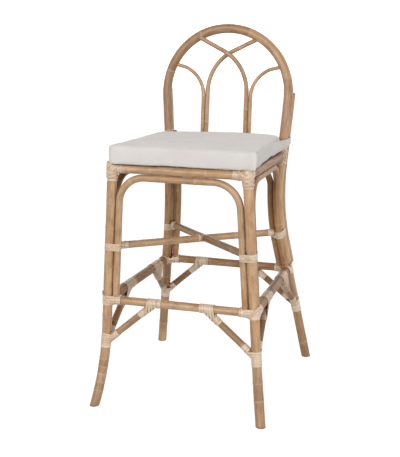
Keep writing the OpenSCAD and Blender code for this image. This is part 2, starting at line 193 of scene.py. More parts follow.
FRONT_TOP = vec(FRONT_HALF_WIDTH, FRONT_Y, SEAT_Z)
FRONT_DOWN = unit(vec(math.tan(FRONT_SPLAY), 0, -1))
FOOT_OUT = across(vec(math.sin(FOOT_BEND_HEADING), -math.cos(FOOT_BEND_HEADING), 0), FRONT_DOWN)
FOOT_START = FRONT_TOP + FRONT_DOWN * (SEAT_Z - FOOT_BEND_Z) / math.cos(FRONT_SPLAY)
FOOT_DOWN = FRONT_DOWN * math.cos(FOOT_TURN) + FOOT_OUT * math.sin(FOOT_TURN)
FOOT_REACH = FOOT_BEND_R * math.tan(FOOT_TURN / 2)
FOOT_CORNER = FOOT_START + FRONT_DOWN * FOOT_REACH

BOW_OUT = vec(math.cos(BOW_HEADING), math.sin(BOW_HEADING), 0)
LOWER_DOWN = BOW_OUT * math.sin(LOWER_LEAN) - UP * math.cos(LOWER_LEAN)
UPPER_UP = BOW_OUT * math.sin(UPPER_LEAN) + UP * math.cos(UPPER_LEAN)


def front_angle(z):
    if z > FOOT_BEND_Z:
        return 0.0
    return math.asin((FOOT_BEND_Z - z) / (math.cos(FRONT_SPLAY) * FOOT_BEND_R))


def front_at(z):
    a = front_angle(z)
    if a == 0:
        return FRONT_TOP + FRONT_DOWN * (SEAT_Z - z) / math.cos(FRONT_SPLAY)
    return FOOT_START + FOOT_BEND_R * (FRONT_DOWN * math.sin(a) + FOOT_OUT * (1 - math.cos(a)))


def bow_point(a):
    return WAIST + BOW_R * (BOW_OUT * (1 - math.cos(a)) + UP * math.sin(a))


def bow_corner(upper):
    return bow_point(-LOWER_LEAN) - LOWER_DOWN * BOW_R * math.tan((LOWER_LEAN + upper) / 2)


def below_bow(z):
    p = bow_point(-LOWER_LEAN)
    return p + LOWER_DOWN * (p[2] - z) / math.cos(LOWER_LEAN)


def above_bow(z):
    p = bow_point(UPPER_LEAN)
    return p + UPPER_UP * (z - p[2]) / math.cos(UPPER_LEAN)


def rear_angle(z):
    a = math.asin(max(-1, min(1, (z - WAIST[2]) / BOW_R)))
    return max(-LOWER_LEAN, min(UPPER_LEAN, a))


def rear_at(z):
    a = rear_angle(z)
    if a == -LOWER_LEAN:
        return below_bow(z)
    return above_bow(z) if a == UPPER_LEAN else bow_point(a)


def leg_at(z, side, is_front):
    return mirrored(front_at(z) if is_front else rear_at(z), side)


def leg_up(z, side, is_front):
    """The leg's direction at that height, pointing up."""
    if is_front:
        a = front_angle(z)
        return mirrored(-(FRONT_DOWN * math.cos(a) + FOOT_OUT * math.sin(a)), side)
    a = rear_angle(z)
    return mirrored(BOW_OUT * math.sin(a) + UP * math.cos(a), side)


def toward_middle(side, is_front):
    lean = FRONT_SPLAY if is_front else LOWER_LEAN
    return vec(-side * HOOP_GAP / math.cos(lean), 0, 0)


def toward_side(is_front):
    return vec(0, HOOP_GAP if is_front else -HOOP_GAP / math.cos(LOWER_LEAN), 0)


ARCH_CORNER = above_bow(ARCH_Z)
ARCH_TURN = math.acos(-UPPER_UP[0])
ARCH_R = ARCH_CORNER[0] / math.tan(ARCH_TURN / 2)
ARCH_SPRING = ARCH_CORNER - UPPER_UP * ARCH_CORNER[0]
ARCH_IN = across(vec(-1, 0, 0), UPPER_UP)
ARCH_MIDDLE = ARCH_SPRING + ARCH_IN * ARCH_R
BACK_NORMAL = unit(vec(0, 1, -UPPER_UP[1] / UPPER_UP[2]))


def in_back(x, z, off):
    """A point of the leaning plane of the back, off metres behind it."""
    return vec(x, above_bow(z)[1], z) + BACK_NORMAL * off


def arch_point(a):
    return ARCH_MIDDLE + ARCH_R * (UPPER_UP * math.sin(a) - ARCH_IN * math.cos(a))


def arch_axis_near(point):
    """The arch's centre point and direction nearest to a point, for fitting a spindle's end to it."""
    angles = np.linspace(0, 2 * ARCH_TURN, 400)
    gaps = [np.linalg.norm(arch_point(a) - point) for a in angles]
    a = angles[int(np.argmin(gaps))]
    return arch_point(a), unit(UPPER_UP * math.cos(a) + ARCH_IN * math.sin(a))


def deck_height(y):
    return SEAT_Z + (y - FRONT_Y) * (REAR_RAIL_Z - SEAT_Z) / (REAR_RAIL_Y - FRONT_Y)


STRETCHER_ENDS = {(side, is_front): leg_at(STRETCHER_Z[is_front], side, is_front)
                  for side in (LEFT, RIGHT) for is_front in (True, False)}
FRONT_X, REAR_X = STRETCHER_ENDS[RIGHT, True][0], STRETCHER_ENDS[RIGHT, False][0]
CROSS_SHARE = FRONT_X / (FRONT_X + REAR_X)
STRETCHER_CROSS = mix(STRETCHER_ENDS[LEFT, True], STRETCHER_ENDS[RIGHT, False], CROSS_SHARE)


# ---- materials ----

class Graph:
    """A node material with one Principled shader."""

    def __init__(self, name, **values):
        self.material = bpy.data.materials.new(name)
        self.material.use_nodes = True
        self.tree = self.material.node_tree
        self.tree.nodes.clear()
        out = self.tree.nodes.new("ShaderNodeOutputMaterial")
        self.shader = self.tree.nodes.new("ShaderNodeBsdfPrincipled")
        self.tree.links.new(self.shader.outputs["BSDF"], out.inputs["Surface"])
        self.finish(**values)

    def finish(self, **values):
        """Sets the shader's own sockets by name, with _ for a space."""
        for socket, value in values.items():
            self.plug(self.shader.inputs[socket.replace("_", " ")], value)
        return self.material

    def plug(self, socket, value):
        if isinstance(value, bpy.types.NodeSocket):
            self.tree.links.new(value, socket)
        else:
            socket.default_value = (*value, 1) if socket.type == "RGBA" else value

    def add(self, kind, inputs, output=0, **settings):
        node = self.tree.nodes.new("ShaderNode" + kind)
        for key, value in settings.items():
            setattr(node, key, value)
        for key, value in inputs.items():
            self.plug(node.inputs[key], value)
        return node.outputs[output]

    def attribute(self, name):
        return self.add("Attribute", {}, "Vector", attribute_name=name)

    def object_place(self):
        return self.add("TexCoord", {}, "Object")

    def parts(self, vector):
        node = self.tree.nodes.new("ShaderNodeSeparateXYZ")
        self.tree.links.new(vector, node.inputs[0])
        return node.outputs

    def scaled(self, vector, scale):
        return self.add("VectorMath", {0: vector, 1: scale}, operation="MULTIPLY")

    def noise(self, vector, scale, detail=3.0, roughness=0.55):
        inputs = {"Vector": self.scaled(vector, scale), "Scale": 1.0, "Detail": detail,
                  "Roughness": roughness}
        return self.add("TexNoise", inputs)

    def ramp(self, value, low, high, top=1.0):
        """0 below low, top above high, smooth between; high may be the smaller one."""
        inputs = {"Value": value, "From Min": low, "From Max": high, "To Max": top}
        return self.add("MapRange", inputs, interpolation_type="SMOOTHSTEP")

    def blend(self, factor, a, b, how="MIX"):
        return self.add("Mix", {0: factor, 6: a, 7: b}, 2, data_type="RGBA", blend_type=how)

    def tint(self, factor, colour, shade):
        """The colour multiplied by a shade, as far as the factor says."""
        return self.blend(factor, colour, self.blend(1.0, colour, shade, "MULTIPLY"))

    def times(self, a, b):
        return self.add("Math", {0: a, 1: b}, operation="MULTIPLY")

    def line(self, value, gain, base):
        return self.add("Math", {0: value, 1: gain, 2: base}, operation="MULTIPLY_ADD")

    def bump(self, height, strength, distance, under=None):
        inputs = {"Height": height, "Strength": strength, "Distance": distance}
        if under is not None:
            inputs["Normal"] = under
        return self.add("Bump", inputs)


def rattan_material(name, pale, warm, deep, gloss=0.5):
    """Peeled cane: blotches, long fibres, a dark line and a pale band at each growth ring."""
    g = Graph(name, Coat_Weight=0.24 * gloss, Coat_Roughness=0.35, Specular_IOR_Level=gloss)
    grain = g.attribute("grain")
    ring_line, ring_band, tone_and_painted_shade = g.parts(g.attribute("mark"))
    blotch = g.noise(grain, (7, 55, 55), 4.0, 0.6)
    streak = g.noise(grain, (14, 420, 420), 3.0, 0.6)
    cast = g.noise(grain, (3.1, 12, 12), 2.0, 0.5)
    fibre = g.noise(grain, (45, 1900, 1900), 2.0, 0.5)
    speck = g.noise(grain, (160, 700, 700), 2.0, 0.5)
    mottle = g.noise(grain, (26, 60, 60), 3.0, 0.6)
    colour = g.blend(g.ramp(blotch, 0.34, 0.66), pale, warm)
    colour = g.tint(g.ramp(cast, 0.45, 0.68), colour, (0.95, 1.0, 1.14))
    colour = g.tint(g.ramp(mottle, 0.50, 0.36), colour, (1.16, 1.13, 1.08))
    colour = g.tint(g.ramp(mottle, 0.50, 0.66), colour, (0.80, 0.74, 0.68))
    colour = g.blend(g.ramp(streak, 0.46, 0.76, 0.85), colour, deep)
    colour = g.blend(g.ramp(fibre, 0.42, 0.72, 0.25), colour, deep)
    colour = g.blend(g.ramp(speck, 0.72, 0.80, 0.55), colour, (0.13, 0.07, 0.035))
    # The tone mark darkens or lightens the cane: partly its own uneven tone, partly painted light and shade.
    for low, high, shade in ((0, 1, (0.70, 0.62, 0.54)), (1, 2, (0.78, 0.74, 0.70)),
                             (0, -1, (1.18, 1.16, 1.13)), (-1, -2, (1.15, 1.15, 1.15))):
        colour = g.tint(g.ramp(tone_and_painted_shade, low, high), colour, shade)
    colour = g.blend(g.times(ring_band, 0.5), colour, (0.62, 0.43, 0.27))
    colour = g.blend(g.times(ring_line, 0.85), colour, (0.14, 0.075, 0.04))
    return g.finish(Base_Color=colour, Roughness=g.line(streak, 0.22, 0.36),
                    Normal=g.bump(fibre, 0.35, 0.0004, g.bump(blotch, 0.25, 0.0008)))


def peel_material():
    """Split peel wound round the joints: smooth and pale, with fine lines and a few stained stretches."""
    g = Graph("peel", Coat_Weight=0.2, Coat_Roughness=0.3)
    grain = g.attribute("grain")
    edge, stain, tone_and_painted_shade = g.parts(g.attribute("mark"))
    blotch = g.noise(grain, (22, 160, 160), 3.0, 0.55)
    fibre = g.noise(grain, (40, 2600, 2600), 2.0, 0.5)
    colour = g.blend(g.ramp(blotch, 0.35, 0.68), (0.72, 0.575, 0.43), (0.65, 0.48, 0.34))
    colour = g.blend(g.ramp(fibre, 0.45, 0.75, 0.3), colour, (0.42, 0.28, 0.17))
    # The tone mark darkens the peel: partly its own uneven tone, partly painted shade on the side lashings.
    colour = g.tint(g.ramp(tone_and_painted_shade, 0.0, 1.4), colour, (0.84, 0.76, 0.66))
    colour = g.tint(g.ramp(tone_and_painted_shade, 1.2, 2.6), colour, (0.74, 0.65, 0.56))
    colour = g.blend(g.times(edge, 0.55), colour, (0.30, 0.19, 0.11))
    colour = g.blend(g.times(stain, 0.5), colour, (0.36, 0.23, 0.13))
    return g.finish(Base_Color=colour, Roughness=g.line(blotch, 0.2, 0.3), Normal=g.bump(fibre, 0.3, 0.0003))


def end_grain_material():
    """The sawn end of a cane: pale pith full of open pores."""
    g = Graph("end_grain", Roughness=0.75)
    grain = g.attribute("grain")
    pores = g.add("TexVoronoi", {"Vector": grain, "Scale": 900.0}, "Distance")
    patch = g.noise(grain, (300, 300, 300), 3.0)
    colour = g.blend(g.ramp(patch, 0.3, 0.7), (0.50, 0.36, 0.22), (0.36, 0.23, 0.12))
    colour = g.blend(g.ramp(pores, 0.32, 0.12), colour, (0.12, 0.07, 0.04))
    return g.finish(Base_Color=colour, Normal=g.bump(pores, 0.6, 0.0004))


THREADS = TURN / 0.0011


def canvas_material():
    """Plain-woven cotton canvas with slubs and a soft nap, with painted shade in the seam grooves and a dark
    painted shade on the cushion's underside.
    """
    g = Graph("canvas", Sheen_Weight=0.25, Sheen_Roughness=0.5, Specular_IOR_Level=0.25)
    weave = g.attribute("grain")
    painted_groove_shade, _, painted_underside_shade = g.parts(g.attribute("mark"))
    x, y, _ = g.parts(g.scaled(weave, (THREADS, THREADS, THREADS)))
    warp, weft = (g.add("Math", {0: thread}, operation="SINE") for thread in (x, y))
    cross = g.times(warp, weft)
    slub = g.times(g.noise(weave, (35, 900, 900), 2.0), g.noise(weave, (900, 35, 900), 2.0))
    cloud = g.noise(weave, (14, 14, 14), 4.0)
    colour = g.blend(g.ramp(cloud, 0.3, 0.7), (0.745, 0.705, 0.672), (0.695, 0.662, 0.635))
    colour = g.blend(g.ramp(slub, 0.22, 0.42, 0.35), colour, (0.80, 0.77, 0.73))
    colour = g.blend(g.ramp(cross, 0.1, -0.7, 0.16), colour, (0.42, 0.39, 0.36))
    # Painted shade in the seam and hem grooves.
    colour = g.blend(g.times(painted_groove_shade, 0.55), colour, (0.40, 0.37, 0.34))
    # Painted shade: dark brown on the cushion's downward faces, seen under its front edge.
    colour = g.blend(g.times(painted_underside_shade, 0.9), colour, (0.10, 0.065, 0.04))
    return g.finish(Base_Color=colour, Roughness=g.line(slub, 0.25, 0.82),
                    Normal=g.bump(cross, 0.35, 0.0003, g.bump(slub, 0.5, 0.0006)))


def nail_material():
    g = Graph("nail", Metallic=0.85)
    tarnish = g.noise(g.object_place(), (900, 900, 900), 2.0)
    colour = g.blend(g.ramp(tarnish, 0.35, 0.65), (0.16, 0.11, 0.07), (0.30, 0.24, 0.17))
    return g.finish(Base_Color=colour, Roughness=g.line(tarnish, 0.3, 0.3))


def floor_material():
    """White paper that shines a little by itself, so the backdrop stays white."""
    g = Graph("floor", Roughness=0.9, Specular_IOR_Level=0.0, Emission_Color=(1, 1, 1), Emission_Strength=1.1)
    return g.finish(Base_Color=g.blend(g.noise(g.object_place(), (3, 3, 3), 2.0), (0.86,) * 3, (0.88,) * 3))


END_GRAIN = end_grain_material()
CANVAS = canvas_material()
PEEL = peel_material()
NAIL = nail_material()
LOOKS = {
    "pole": rattan_material("rattan_pole", (0.51, 0.333, 0.185), (0.45, 0.258, 0.120), (0.265, 0.130, 0.052)),
    # A darker copy of the pole cane: painted shade for the members at the rear and sides, and for the
    # stretcher halves.
    "pole_dark": rattan_material("rattan_pole_painted_shade", (0.395, 0.238, 0.117), (0.325, 0.170, 0.072),
                                 (0.18, 0.083, 0.032), gloss=0.2),
    "spindle": rattan_material("rattan_spindle", (0.49, 0.32, 0.178), (0.43, 0.25, 0.118),
                               (0.26, 0.13, 0.052)),
}


# ---- meshes ----

def put_vectors(mesh, key, values):
    layer = mesh.attributes.new(key, "FLOAT_VECTOR", "POINT")
    layer.data.foreach_set("vector", values.astype(np.float32).ravel())


def add_mesh(name, points, faces, materials, face_materials=None, grain=None, mark=None):
    """A smooth mesh object with the two vector attributes that the materials read."""
    mesh = bpy.data.meshes.new(name)
    mesh.from_pydata(points.tolist(), [], faces)
    for material in materials:
        mesh.materials.append(material)
    if face_materials is not None:
        mesh.polygons.foreach_set("material_index", face_materials)
    mesh.polygons.foreach_set("use_smooth", [True] * len(faces))
    for key, values in (("grain", grain), ("mark", mark)):
        if values is not None:
            put_vectors(mesh, key, values)
    piece = bpy.data.objects.new(name, mesh)
    bpy.context.scene.collection.objects.link(piece)
    return piece


def settle(piece, node=None):
    """Puts a piece on the stool's one body and in its CAD node's place."""
    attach(piece, BODY)
    if node:
        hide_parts(node)


class Path:
    """A centre line measured by its length."""

    def __init__(self, points):
        self.points = np.array(points)
        gaps = np.linalg.norm(np.diff(self.points, axis=0), axis=1)
        self.stations = np.concatenate([[0], np.cumsum(gaps)])
        self.length = self.stations[-1]

    def at(self, s):
        return np.stack([np.interp(s, self.stations, self.points[:, k]) for k in range(3)], axis=-1)

    def along(self, s, reach=0.0025):
        ahead = self.at(np.minimum(s + reach, self.length)) - self.at(np.maximum(s - reach, 0))
        return ahead / np.linalg.norm(ahead, axis=-1, keepdims=True)


def bent(corners, radii, step=0.0015):
    """Straight runs joined by round bends."""
    points = [corners[0]]
    for corner, before, after, r in zip(corners[1:-1], corners[:-2], corners[2:], radii):
        a, b = unit(corner - before), unit(after - corner)
        turn = math.acos(a @ b)
        start = corner - a * r * math.tan(turn / 2)
        inward = across(b, a)
        for t in np.linspace(0, turn, max(4, int(r * turn / step))):
            points.append(start + r * (a * math.sin(t) + inward * (1 - math.cos(t))))
    return Path(points + [corners[-1]])


def carried_frames(tangents):
    """Side vectors carried along a line without twist."""
    side = across(ODD_WAY, tangents[0])
    sides = []
    for t in tangents:
        side = across(side, t)
        sides.append(side)
    sides = np.array(sides)
    return sides, np.cross(tangents, sides)


# ---- poles ----

TRIM_ZONE = 0.055
RING_REACH = 0.006
RING_SHAPE = ((0.00045, 0, 0.0045), (-0.00040, 0, 0.0007), (0.00022, 0.9, 0.0022))  # height, shift, width


def ring_places(length, rng):
    """Growth rings come at uneven spacings."""
    places, s = [], rng.uniform(0.03, 0.20)
    while s < length - 0.015:
        places.append(s)
        s += rng.uniform(0.13, 0.27)
    return places


def stations_for(length, rings, step):
    """Even stations, with close ones at every growth ring."""
    parts = [np.linspace(0, length, max(3, int(length / step)))]
    parts += [np.arange(s - RING_REACH, s + RING_REACH, 0.0008) for s in rings]
    s = np.unique(np.clip(np.concatenate(parts), 0, length))
    return s[np.concatenate([[True], np.diff(s) > 0.0002])]


def first_hit(origins, direction, cylinders, fallback):
    """How far each line runs in direction before it meets one of the cylinders (point, axis, radius)."""
    hits = np.full(len(origins), fallback)
    for point, axis, radius in cylinders:
        o = origins - point
        o = o - np.outer(o @ axis, axis)
        d = direction - axis * (direction @ axis)
        a, b, c = d @ d, o @ d, (o * o).sum(1) - radius ** 2
        inside = np.maximum(b * b - a * c, 0)
        t = (-b - np.sqrt(inside)) / a
        missed = b * b - a * c < -1e-7
        t[missed] = fallback
        hits = np.minimum(hits, np.where(t > 0, t, fallback))
    return hits


def trim(points, s, length, end, cut, path):
    """Stretches a pole near its end so that the end follows what it meets: other poles, or the floor."""
    if cut == "round":
        return
    outward = path.along(np.array([length if end else 0.0]))[0] * (1 if end else -1)
    from_end = length - s if end else s
    zone = min(TRIM_ZONE, length * 0.4)
    base = path.at(length - zone if end else zone)
    starts = base + points[-1 if end else 0] - path.at(length if end else 0.0)
    reach = -starts[:, 2] / outward[2] if cut == "floor" else first_hit(starts, outward, cut, zone)
    for row in np.where(from_end < zone)[0]:
        wanted = (zone - from_end[row]) / zone * reach
        points[row] += np.outer(wanted - (points[row] - base) @ outward, outward)
        if cut == "floor":
            points[row][:, 2] = np.maximum(points[row][:, 2], 0)


def pole(node, path, radius, cuts, look, rings=None, sides=28, step=0.006, tone_and_painted_shade=0.0, name=None, shade=None):
    """One cane: a closed tube with growth rings, a slightly uneven section, and ends cut to fit."""
    name = name or node + "_cane"
    rng = randoms(name)
    length = path.length
    rings = [r * length for r in rings] if rings is not None else ring_places(length, rng)
    s = stations_for(length, rings, step)
    tangents = path.along(s)
    u, v = carried_frames(tangents)
    theta = np.linspace(0, TURN, sides, endpoint=False) + rng.uniform(0, 1)
    wave, oval, turn = rng.uniform(0, 6.28, 3)
    r = radius * (0.985 + 0.010 * np.sin(s / 0.047 + wave) + 0.006 * np.sin(s / 0.019 + 2 * wave))[:, None]
    r = r * (1 + 0.014 * np.cos(2 * (theta - oval) + s[:, None] / 0.21) + 0.006 * np.cos(3 * theta + turn))
    line, band = np.zeros_like(r), np.zeros_like(r)
    for ring in rings:
        tilt, heading = rng.uniform(0.02, 0.12), rng.uniform(0, 6.28)
        size = rng.uniform(0.6, 1.2)
        wobble = 0.00025 * np.sin(3 * theta + rng.uniform(0, 6.28))
        d = s[:, None] - ring - radius * tilt * np.cos(theta - heading) - wobble
        for height, shift, width in RING_SHAPE:
            r = r + size * height * np.exp(-(d / width - shift) ** 2)
        line = np.maximum(line, size * 0.8 * np.exp(-(d / 0.0008) ** 2))
        band = np.maximum(band, np.exp(-(d / np.where(d > 0, 0.0042, 0.0012)) ** 2))
    ring_tone_and_shade = tone_and_painted_shade + rng.uniform(-0.35, 0.35, len(rings) + 1)
    tone_and_shade_at = ring_tone_and_shade[np.searchsorted(np.array(sorted(rings)), s)]
    if shade is not None:
        tone_and_shade_at = tone_and_shade_at + np.interp(s / length, *zip(*shade))
    outward = np.cos(theta)[None, :, None] * u[:, None, :] + np.sin(theta)[None, :, None] * v[:, None, :]
    points = path.at(s)[:, None, :] + r[:, :, None] * outward
    for end in (False, True):
        trim(points, s, length, end, cuts[end], path)
    grain = layers(r.shape, s[:, None] + rng.uniform(0, 50), r * np.cos(theta), r * np.sin(theta))
    mark = layers(r.shape, line, band, tone_and_shade_at[:, None])
    settle(tube(name, points, grain, mark, cuts, tangents, LOOKS[look]), node)


EDGE_STEPS = ((0.045, 0.0006), (0.16, 0.0012), (0.5, 0.0013))  # inset as a share, and rise


def tube(name, points, grain, mark, cuts, tangents, material):
    """Joins the rings of a pole into a closed mesh. A free end gets a rounded edge and an end-grain face."""
    rows, sides = points.shape[:2]
    all_points, all_grain, all_mark = [points], [grain], [mark]
    order = list(range(rows))
    free = [cut in ("round", "floor") for cut in cuts]
    for end in (False, True):
        row = rows - 1 if end else 0
        outward = tangents[row] * (0 if cuts[end] == "floor" else 1 if end else -1)
        middle = points[row].mean(0)
        for inset, rise in EDGE_STEPS if free[end] else ((0.5, 0.0),):
            order.insert(len(order) if end else 0, sum(len(p) for p in all_points))
            all_points.append((mix(points[row], middle, inset) + outward * rise)[None])
            all_grain.append(grain[row][None] * vec(1, 1 - inset, 1 - inset))
            all_mark.append(mark[row][None] * vec(0, 0, 1))
    faces = capped_loft(np.array(order)[:, None] * sides + np.arange(sides))
    quads = len(faces) - 2
    kinds = np.zeros(len(faces), int)
    kinds[:sides], kinds[quads - sides:quads], kinds[quads:] = free[0], free[1], 1
    joined = [np.concatenate(rings).reshape(-1, 3) for rings in (all_points, all_grain, all_mark)]
    return add_mesh(name, joined[0], faces, [material, END_GRAIN], kinds.tolist(), *joined[1:])


def cylinder_of(a, b, radius):
    return a, unit(b - a), radius


def leg_cylinder(z, side, is_front):
    return leg_at(z, side, is_front), leg_up(z, side, is_front), LEG_R


def rear_path():
    right = [below_bow(-0.003), bow_point(-LOWER_LEAN)]
    right += [bow_point(a) for a in np.linspace(-LOWER_LEAN, UPPER_LEAN, 180)]
    right += [arch_point(a) for a in np.linspace(0, ARCH_TURN, 200)]
    left_half = [mirrored(p, LEFT) for p in right[:-1]]
    return Path(left_half + right[::-1])


# Tones along the poles that the photo shows paler or darker, and the places of their clear rings.
# These profiles are partly the cane's own tone and partly painted light and shade, such as the paler rear
# right leg.
FRONT_LEG_SHADES = {"left": ((0, 0.0), (0.7, 0.1), (1, 1.2)), "right": ((0, -0.8), (0.6, -0.5), (1, 1.4))}
REAR_FRAME_SHADE = ((0, 0.6), (0.2, 0.3), (0.30, 1.6), (0.38, 2.0), (0.44, 1.0), (0.5, 0.4), (0.62, 0.5),
                    (0.69, 0.0), (0.78, -1.8), (0.88, -0.2), (0.95, 1.2), (1, 1.8))
FRONT_LEG_RINGS = {"left": (0.155, 0.255, 0.525, 0.62, 0.70, 0.80, 0.835, 0.865, 0.90, 0.935),
                   "right": (0.10, 0.36, 0.555, 0.72, 0.83, 0.90)}


def build_legs():
    for side, word in SIDES:
        corners = [front_at(LEG_TOP_Z), FOOT_CORNER, FOOT_CORNER + FOOT_DOWN * (FOOT_REACH + 0.01)]
        path = clipped_at_floor(bent([mirrored(p, side) for p in corners], [FOOT_BEND_R]))
        pole("front_leg_" + word, path, LEG_R, ("round", "floor"), "pole", FRONT_LEG_RINGS[word],
             shade=FRONT_LEG_SHADES[word])
        doubler = [below_bow(DOUBLER_LOW), bow_corner(UPPER_LEAN), above_bow(DOUBLER_HIGH)]
        shift = DOUBLER_SHIFT if side == RIGHT else LEFT_DOUBLER_SHIFT
        path = bent([mirrored(p, side) + shift for p in doubler], [BOW_R])
        pole("doubler_" + word, path, LEG_R, ("round", "round"), "pole", tone_and_painted_shade=0.15)
    path = clipped_at_floor(rear_path())
    pole("rear_frame", path, LEG_R, ("floor", "floor"), "pole", shade=REAR_FRAME_SHADE)


def clipped_at_floor(path):
    """Ends a path's centre line on the floor."""
    points = path.points
    keep = points[:, 2] > 0
    first, last = np.where(keep)[0][[0, -1]]
    inner = list(points[first:last + 1])
    if first > 0:
        a, b = points[first - 1], points[first]
        inner.insert(0, mix(a, b, -a[2] / (b[2] - a[2])))
    if last < len(points) - 1:
        a, b = points[last], points[last + 1]
        inner.append(mix(a, b, -a[2] / (b[2] - a[2])))
    return Path(inner)


def build_rails():
    shown_rings = {"seat_rail_front": (0.285, 0.70), "foot_rail_front": (0.30, 0.44, 0.93),
                   "foot_rail_rear": (0.36, 0.62)}
    # The last value is painted shade that darkens the side rails.
    for kind, heights, cross_r, side_r, side_painted_shade in (
            ("seat_rail_", SEAT_RAIL_Z, SEAT_RAIL_R, SEAT_RAIL_R, 0.4),
            ("foot_rail_", {True: FOOT_RAIL_Z, False: FOOT_RAIL_Z}, FOOT_RAIL_R, SIDE_FOOT_RAIL_R, 0.6)):
        for is_front, word in ENDS:
            legs = [leg_cylinder(heights[is_front], side, is_front) for side in (LEFT, RIGHT)]
            look, tone_and_painted_shade = ("pole", -0.3) if is_front else ("pole_dark", 0.1)
            pole(kind + word, Path([leg[0] for leg in legs]), cross_r, [[leg] for leg in legs], look,
                 shown_rings.get(kind + word), tone_and_painted_shade=tone_and_painted_shade)
        for side, word in SIDES:
            legs = [leg_cylinder(heights[is_front], side, is_front) for is_front in (True, False)]
            pole(kind + word, Path([leg[0] for leg in legs]), side_r, [[leg] for leg in legs], "pole_dark",
                 tone_and_painted_shade=side_painted_shade)


def hoop_rear_corner():
    p = bow_point(HOOP_LEAN)
    rise = BOW_OUT * math.sin(HOOP_LEAN) + UP * math.cos(HOOP_LEAN)
    return p + rise * (REAR_RAIL_Z - HOOP_DROP - p[2]) / rise[2]


def build_hoops():
    top = SEAT_Z - HOOP_DROP
    for is_front, word in ENDS:
        half = [leg_at(FOOT_RAIL_Z, RIGHT, is_front), front_at(top) if is_front else hoop_rear_corner()]
        radii = [HOOP_BEND]
        if not is_front:
            half.insert(1, bow_corner(HOOP_LEAN))
            radii.insert(0, BOW_R)
        half = [p + toward_middle(RIGHT, is_front) for p in half]
        corners = [mirrored(p, LEFT) for p in half] + half[::-1]
        rail = [leg_at(FOOT_RAIL_Z, side, is_front) for side in (LEFT, RIGHT)]
        cuts = [[cylinder_of(*rail, FOOT_RAIL_R)]] * 2
        look, rings, tone_and_painted_shade = ("pole", (0.16, 0.355, 0.545, 0.79), 0) if is_front else ("pole_dark", None, -1.3)
        pole("hoop_" + word, bent(corners, radii + radii[::-1]), HOOP_R, cuts, look, rings, tone_and_painted_shade=tone_and_painted_shade)
    for side, word in SIDES:
        front = [leg_at(z, side, True) + toward_side(True) for z in (FOOT_RAIL_Z, top)]
        rear = [mirrored(hoop_rear_corner(), side), mirrored(bow_corner(HOOP_LEAN), side),
                leg_at(FOOT_RAIL_Z, side, False)]
        rear = [p + toward_side(False) for p in rear]
        rail = [leg_at(FOOT_RAIL_Z, side, is_front) for is_front in (True, False)]
        pole("hoop_" + word, bent(front + rear, [HOOP_BEND, HOOP_BEND, BOW_R]), HOOP_R,
             [[cylinder_of(*rail, SIDE_FOOT_RAIL_R)]] * 2, "pole_dark", tone_and_painted_shade=-0.8)


def stretcher_cut(side, is_front):
    leg, up, r = leg_cylinder(STRETCHER_Z[is_front], side, is_front)
    hoops = [(leg + shift, up, HOOP_R) for shift in (toward_middle(side, is_front), toward_side(is_front))]
    return [(leg, up, r)] + hoops


def build_stretchers():
    ends = [STRETCHER_ENDS[LEFT, True], STRETCHER_ENDS[RIGHT, False]]
    cuts = [stretcher_cut(LEFT, True), stretcher_cut(RIGHT, False)]
    pole("stretcher_long", Path(ends), STRETCHER_R, cuts, "pole", (0.18, 0.43, 0.70))
    through = cylinder_of(*ends, STRETCHER_R)
    for side, is_front, word in ((RIGHT, True, "front"), (LEFT, False, "rear")):
        path = Path([STRETCHER_ENDS[side, is_front], STRETCHER_CROSS])
        cuts = [stretcher_cut(side, is_front), [through]]
        pole("stretcher_half_" + word, path, STRETCHER_R, cuts, "pole_dark", tone_and_painted_shade=0.3)


def brace_points(side, is_front, kind):
    """Where a brace meets the footrest rail's centre line and the leg's, and the corner between them."""
    corner = leg_at(FOOT_RAIL_Z, side, is_front)
    far = leg_at(FOOT_RAIL_Z, -side, is_front) if kind == "cross" else leg_at(FOOT_RAIL_Z, side, not is_front)
    return mix(corner, far, BRACE_SHARES[is_front, kind]), leg_at(BRACE_Z[is_front], side, is_front), corner


def each_brace():
    for side, side_word in SIDES:
        for is_front, end_word in ENDS:
            yield side, is_front, "cross", f"brace_{end_word}_{side_word}"
            yield side, is_front, "side", f"brace_side_{side_word}_{end_word}"


BRACED_RAIL_R = {"cross": FOOT_RAIL_R, "side": SIDE_FOOT_RAIL_R}


def build_braces():
    for side, is_front, kind, node in each_brace():
        top, foot, corner = brace_points(side, is_front, kind)
        cuts = [[cylinder_of(corner, top, BRACED_RAIL_R[kind])],
                [leg_cylinder(BRACE_Z[is_front], side, is_front)]]
        # The side and rear braces take the shaded cane and a darker tone: painted shade.
        look, tone_and_painted_shade = ("pole", 0.9) if is_front and kind == "cross" else ("pole_dark", 0.6)
        pole(node, Path([top, foot]), BRACE_R, cuts, look, tone_and_painted_shade=tone_and_painted_shade)


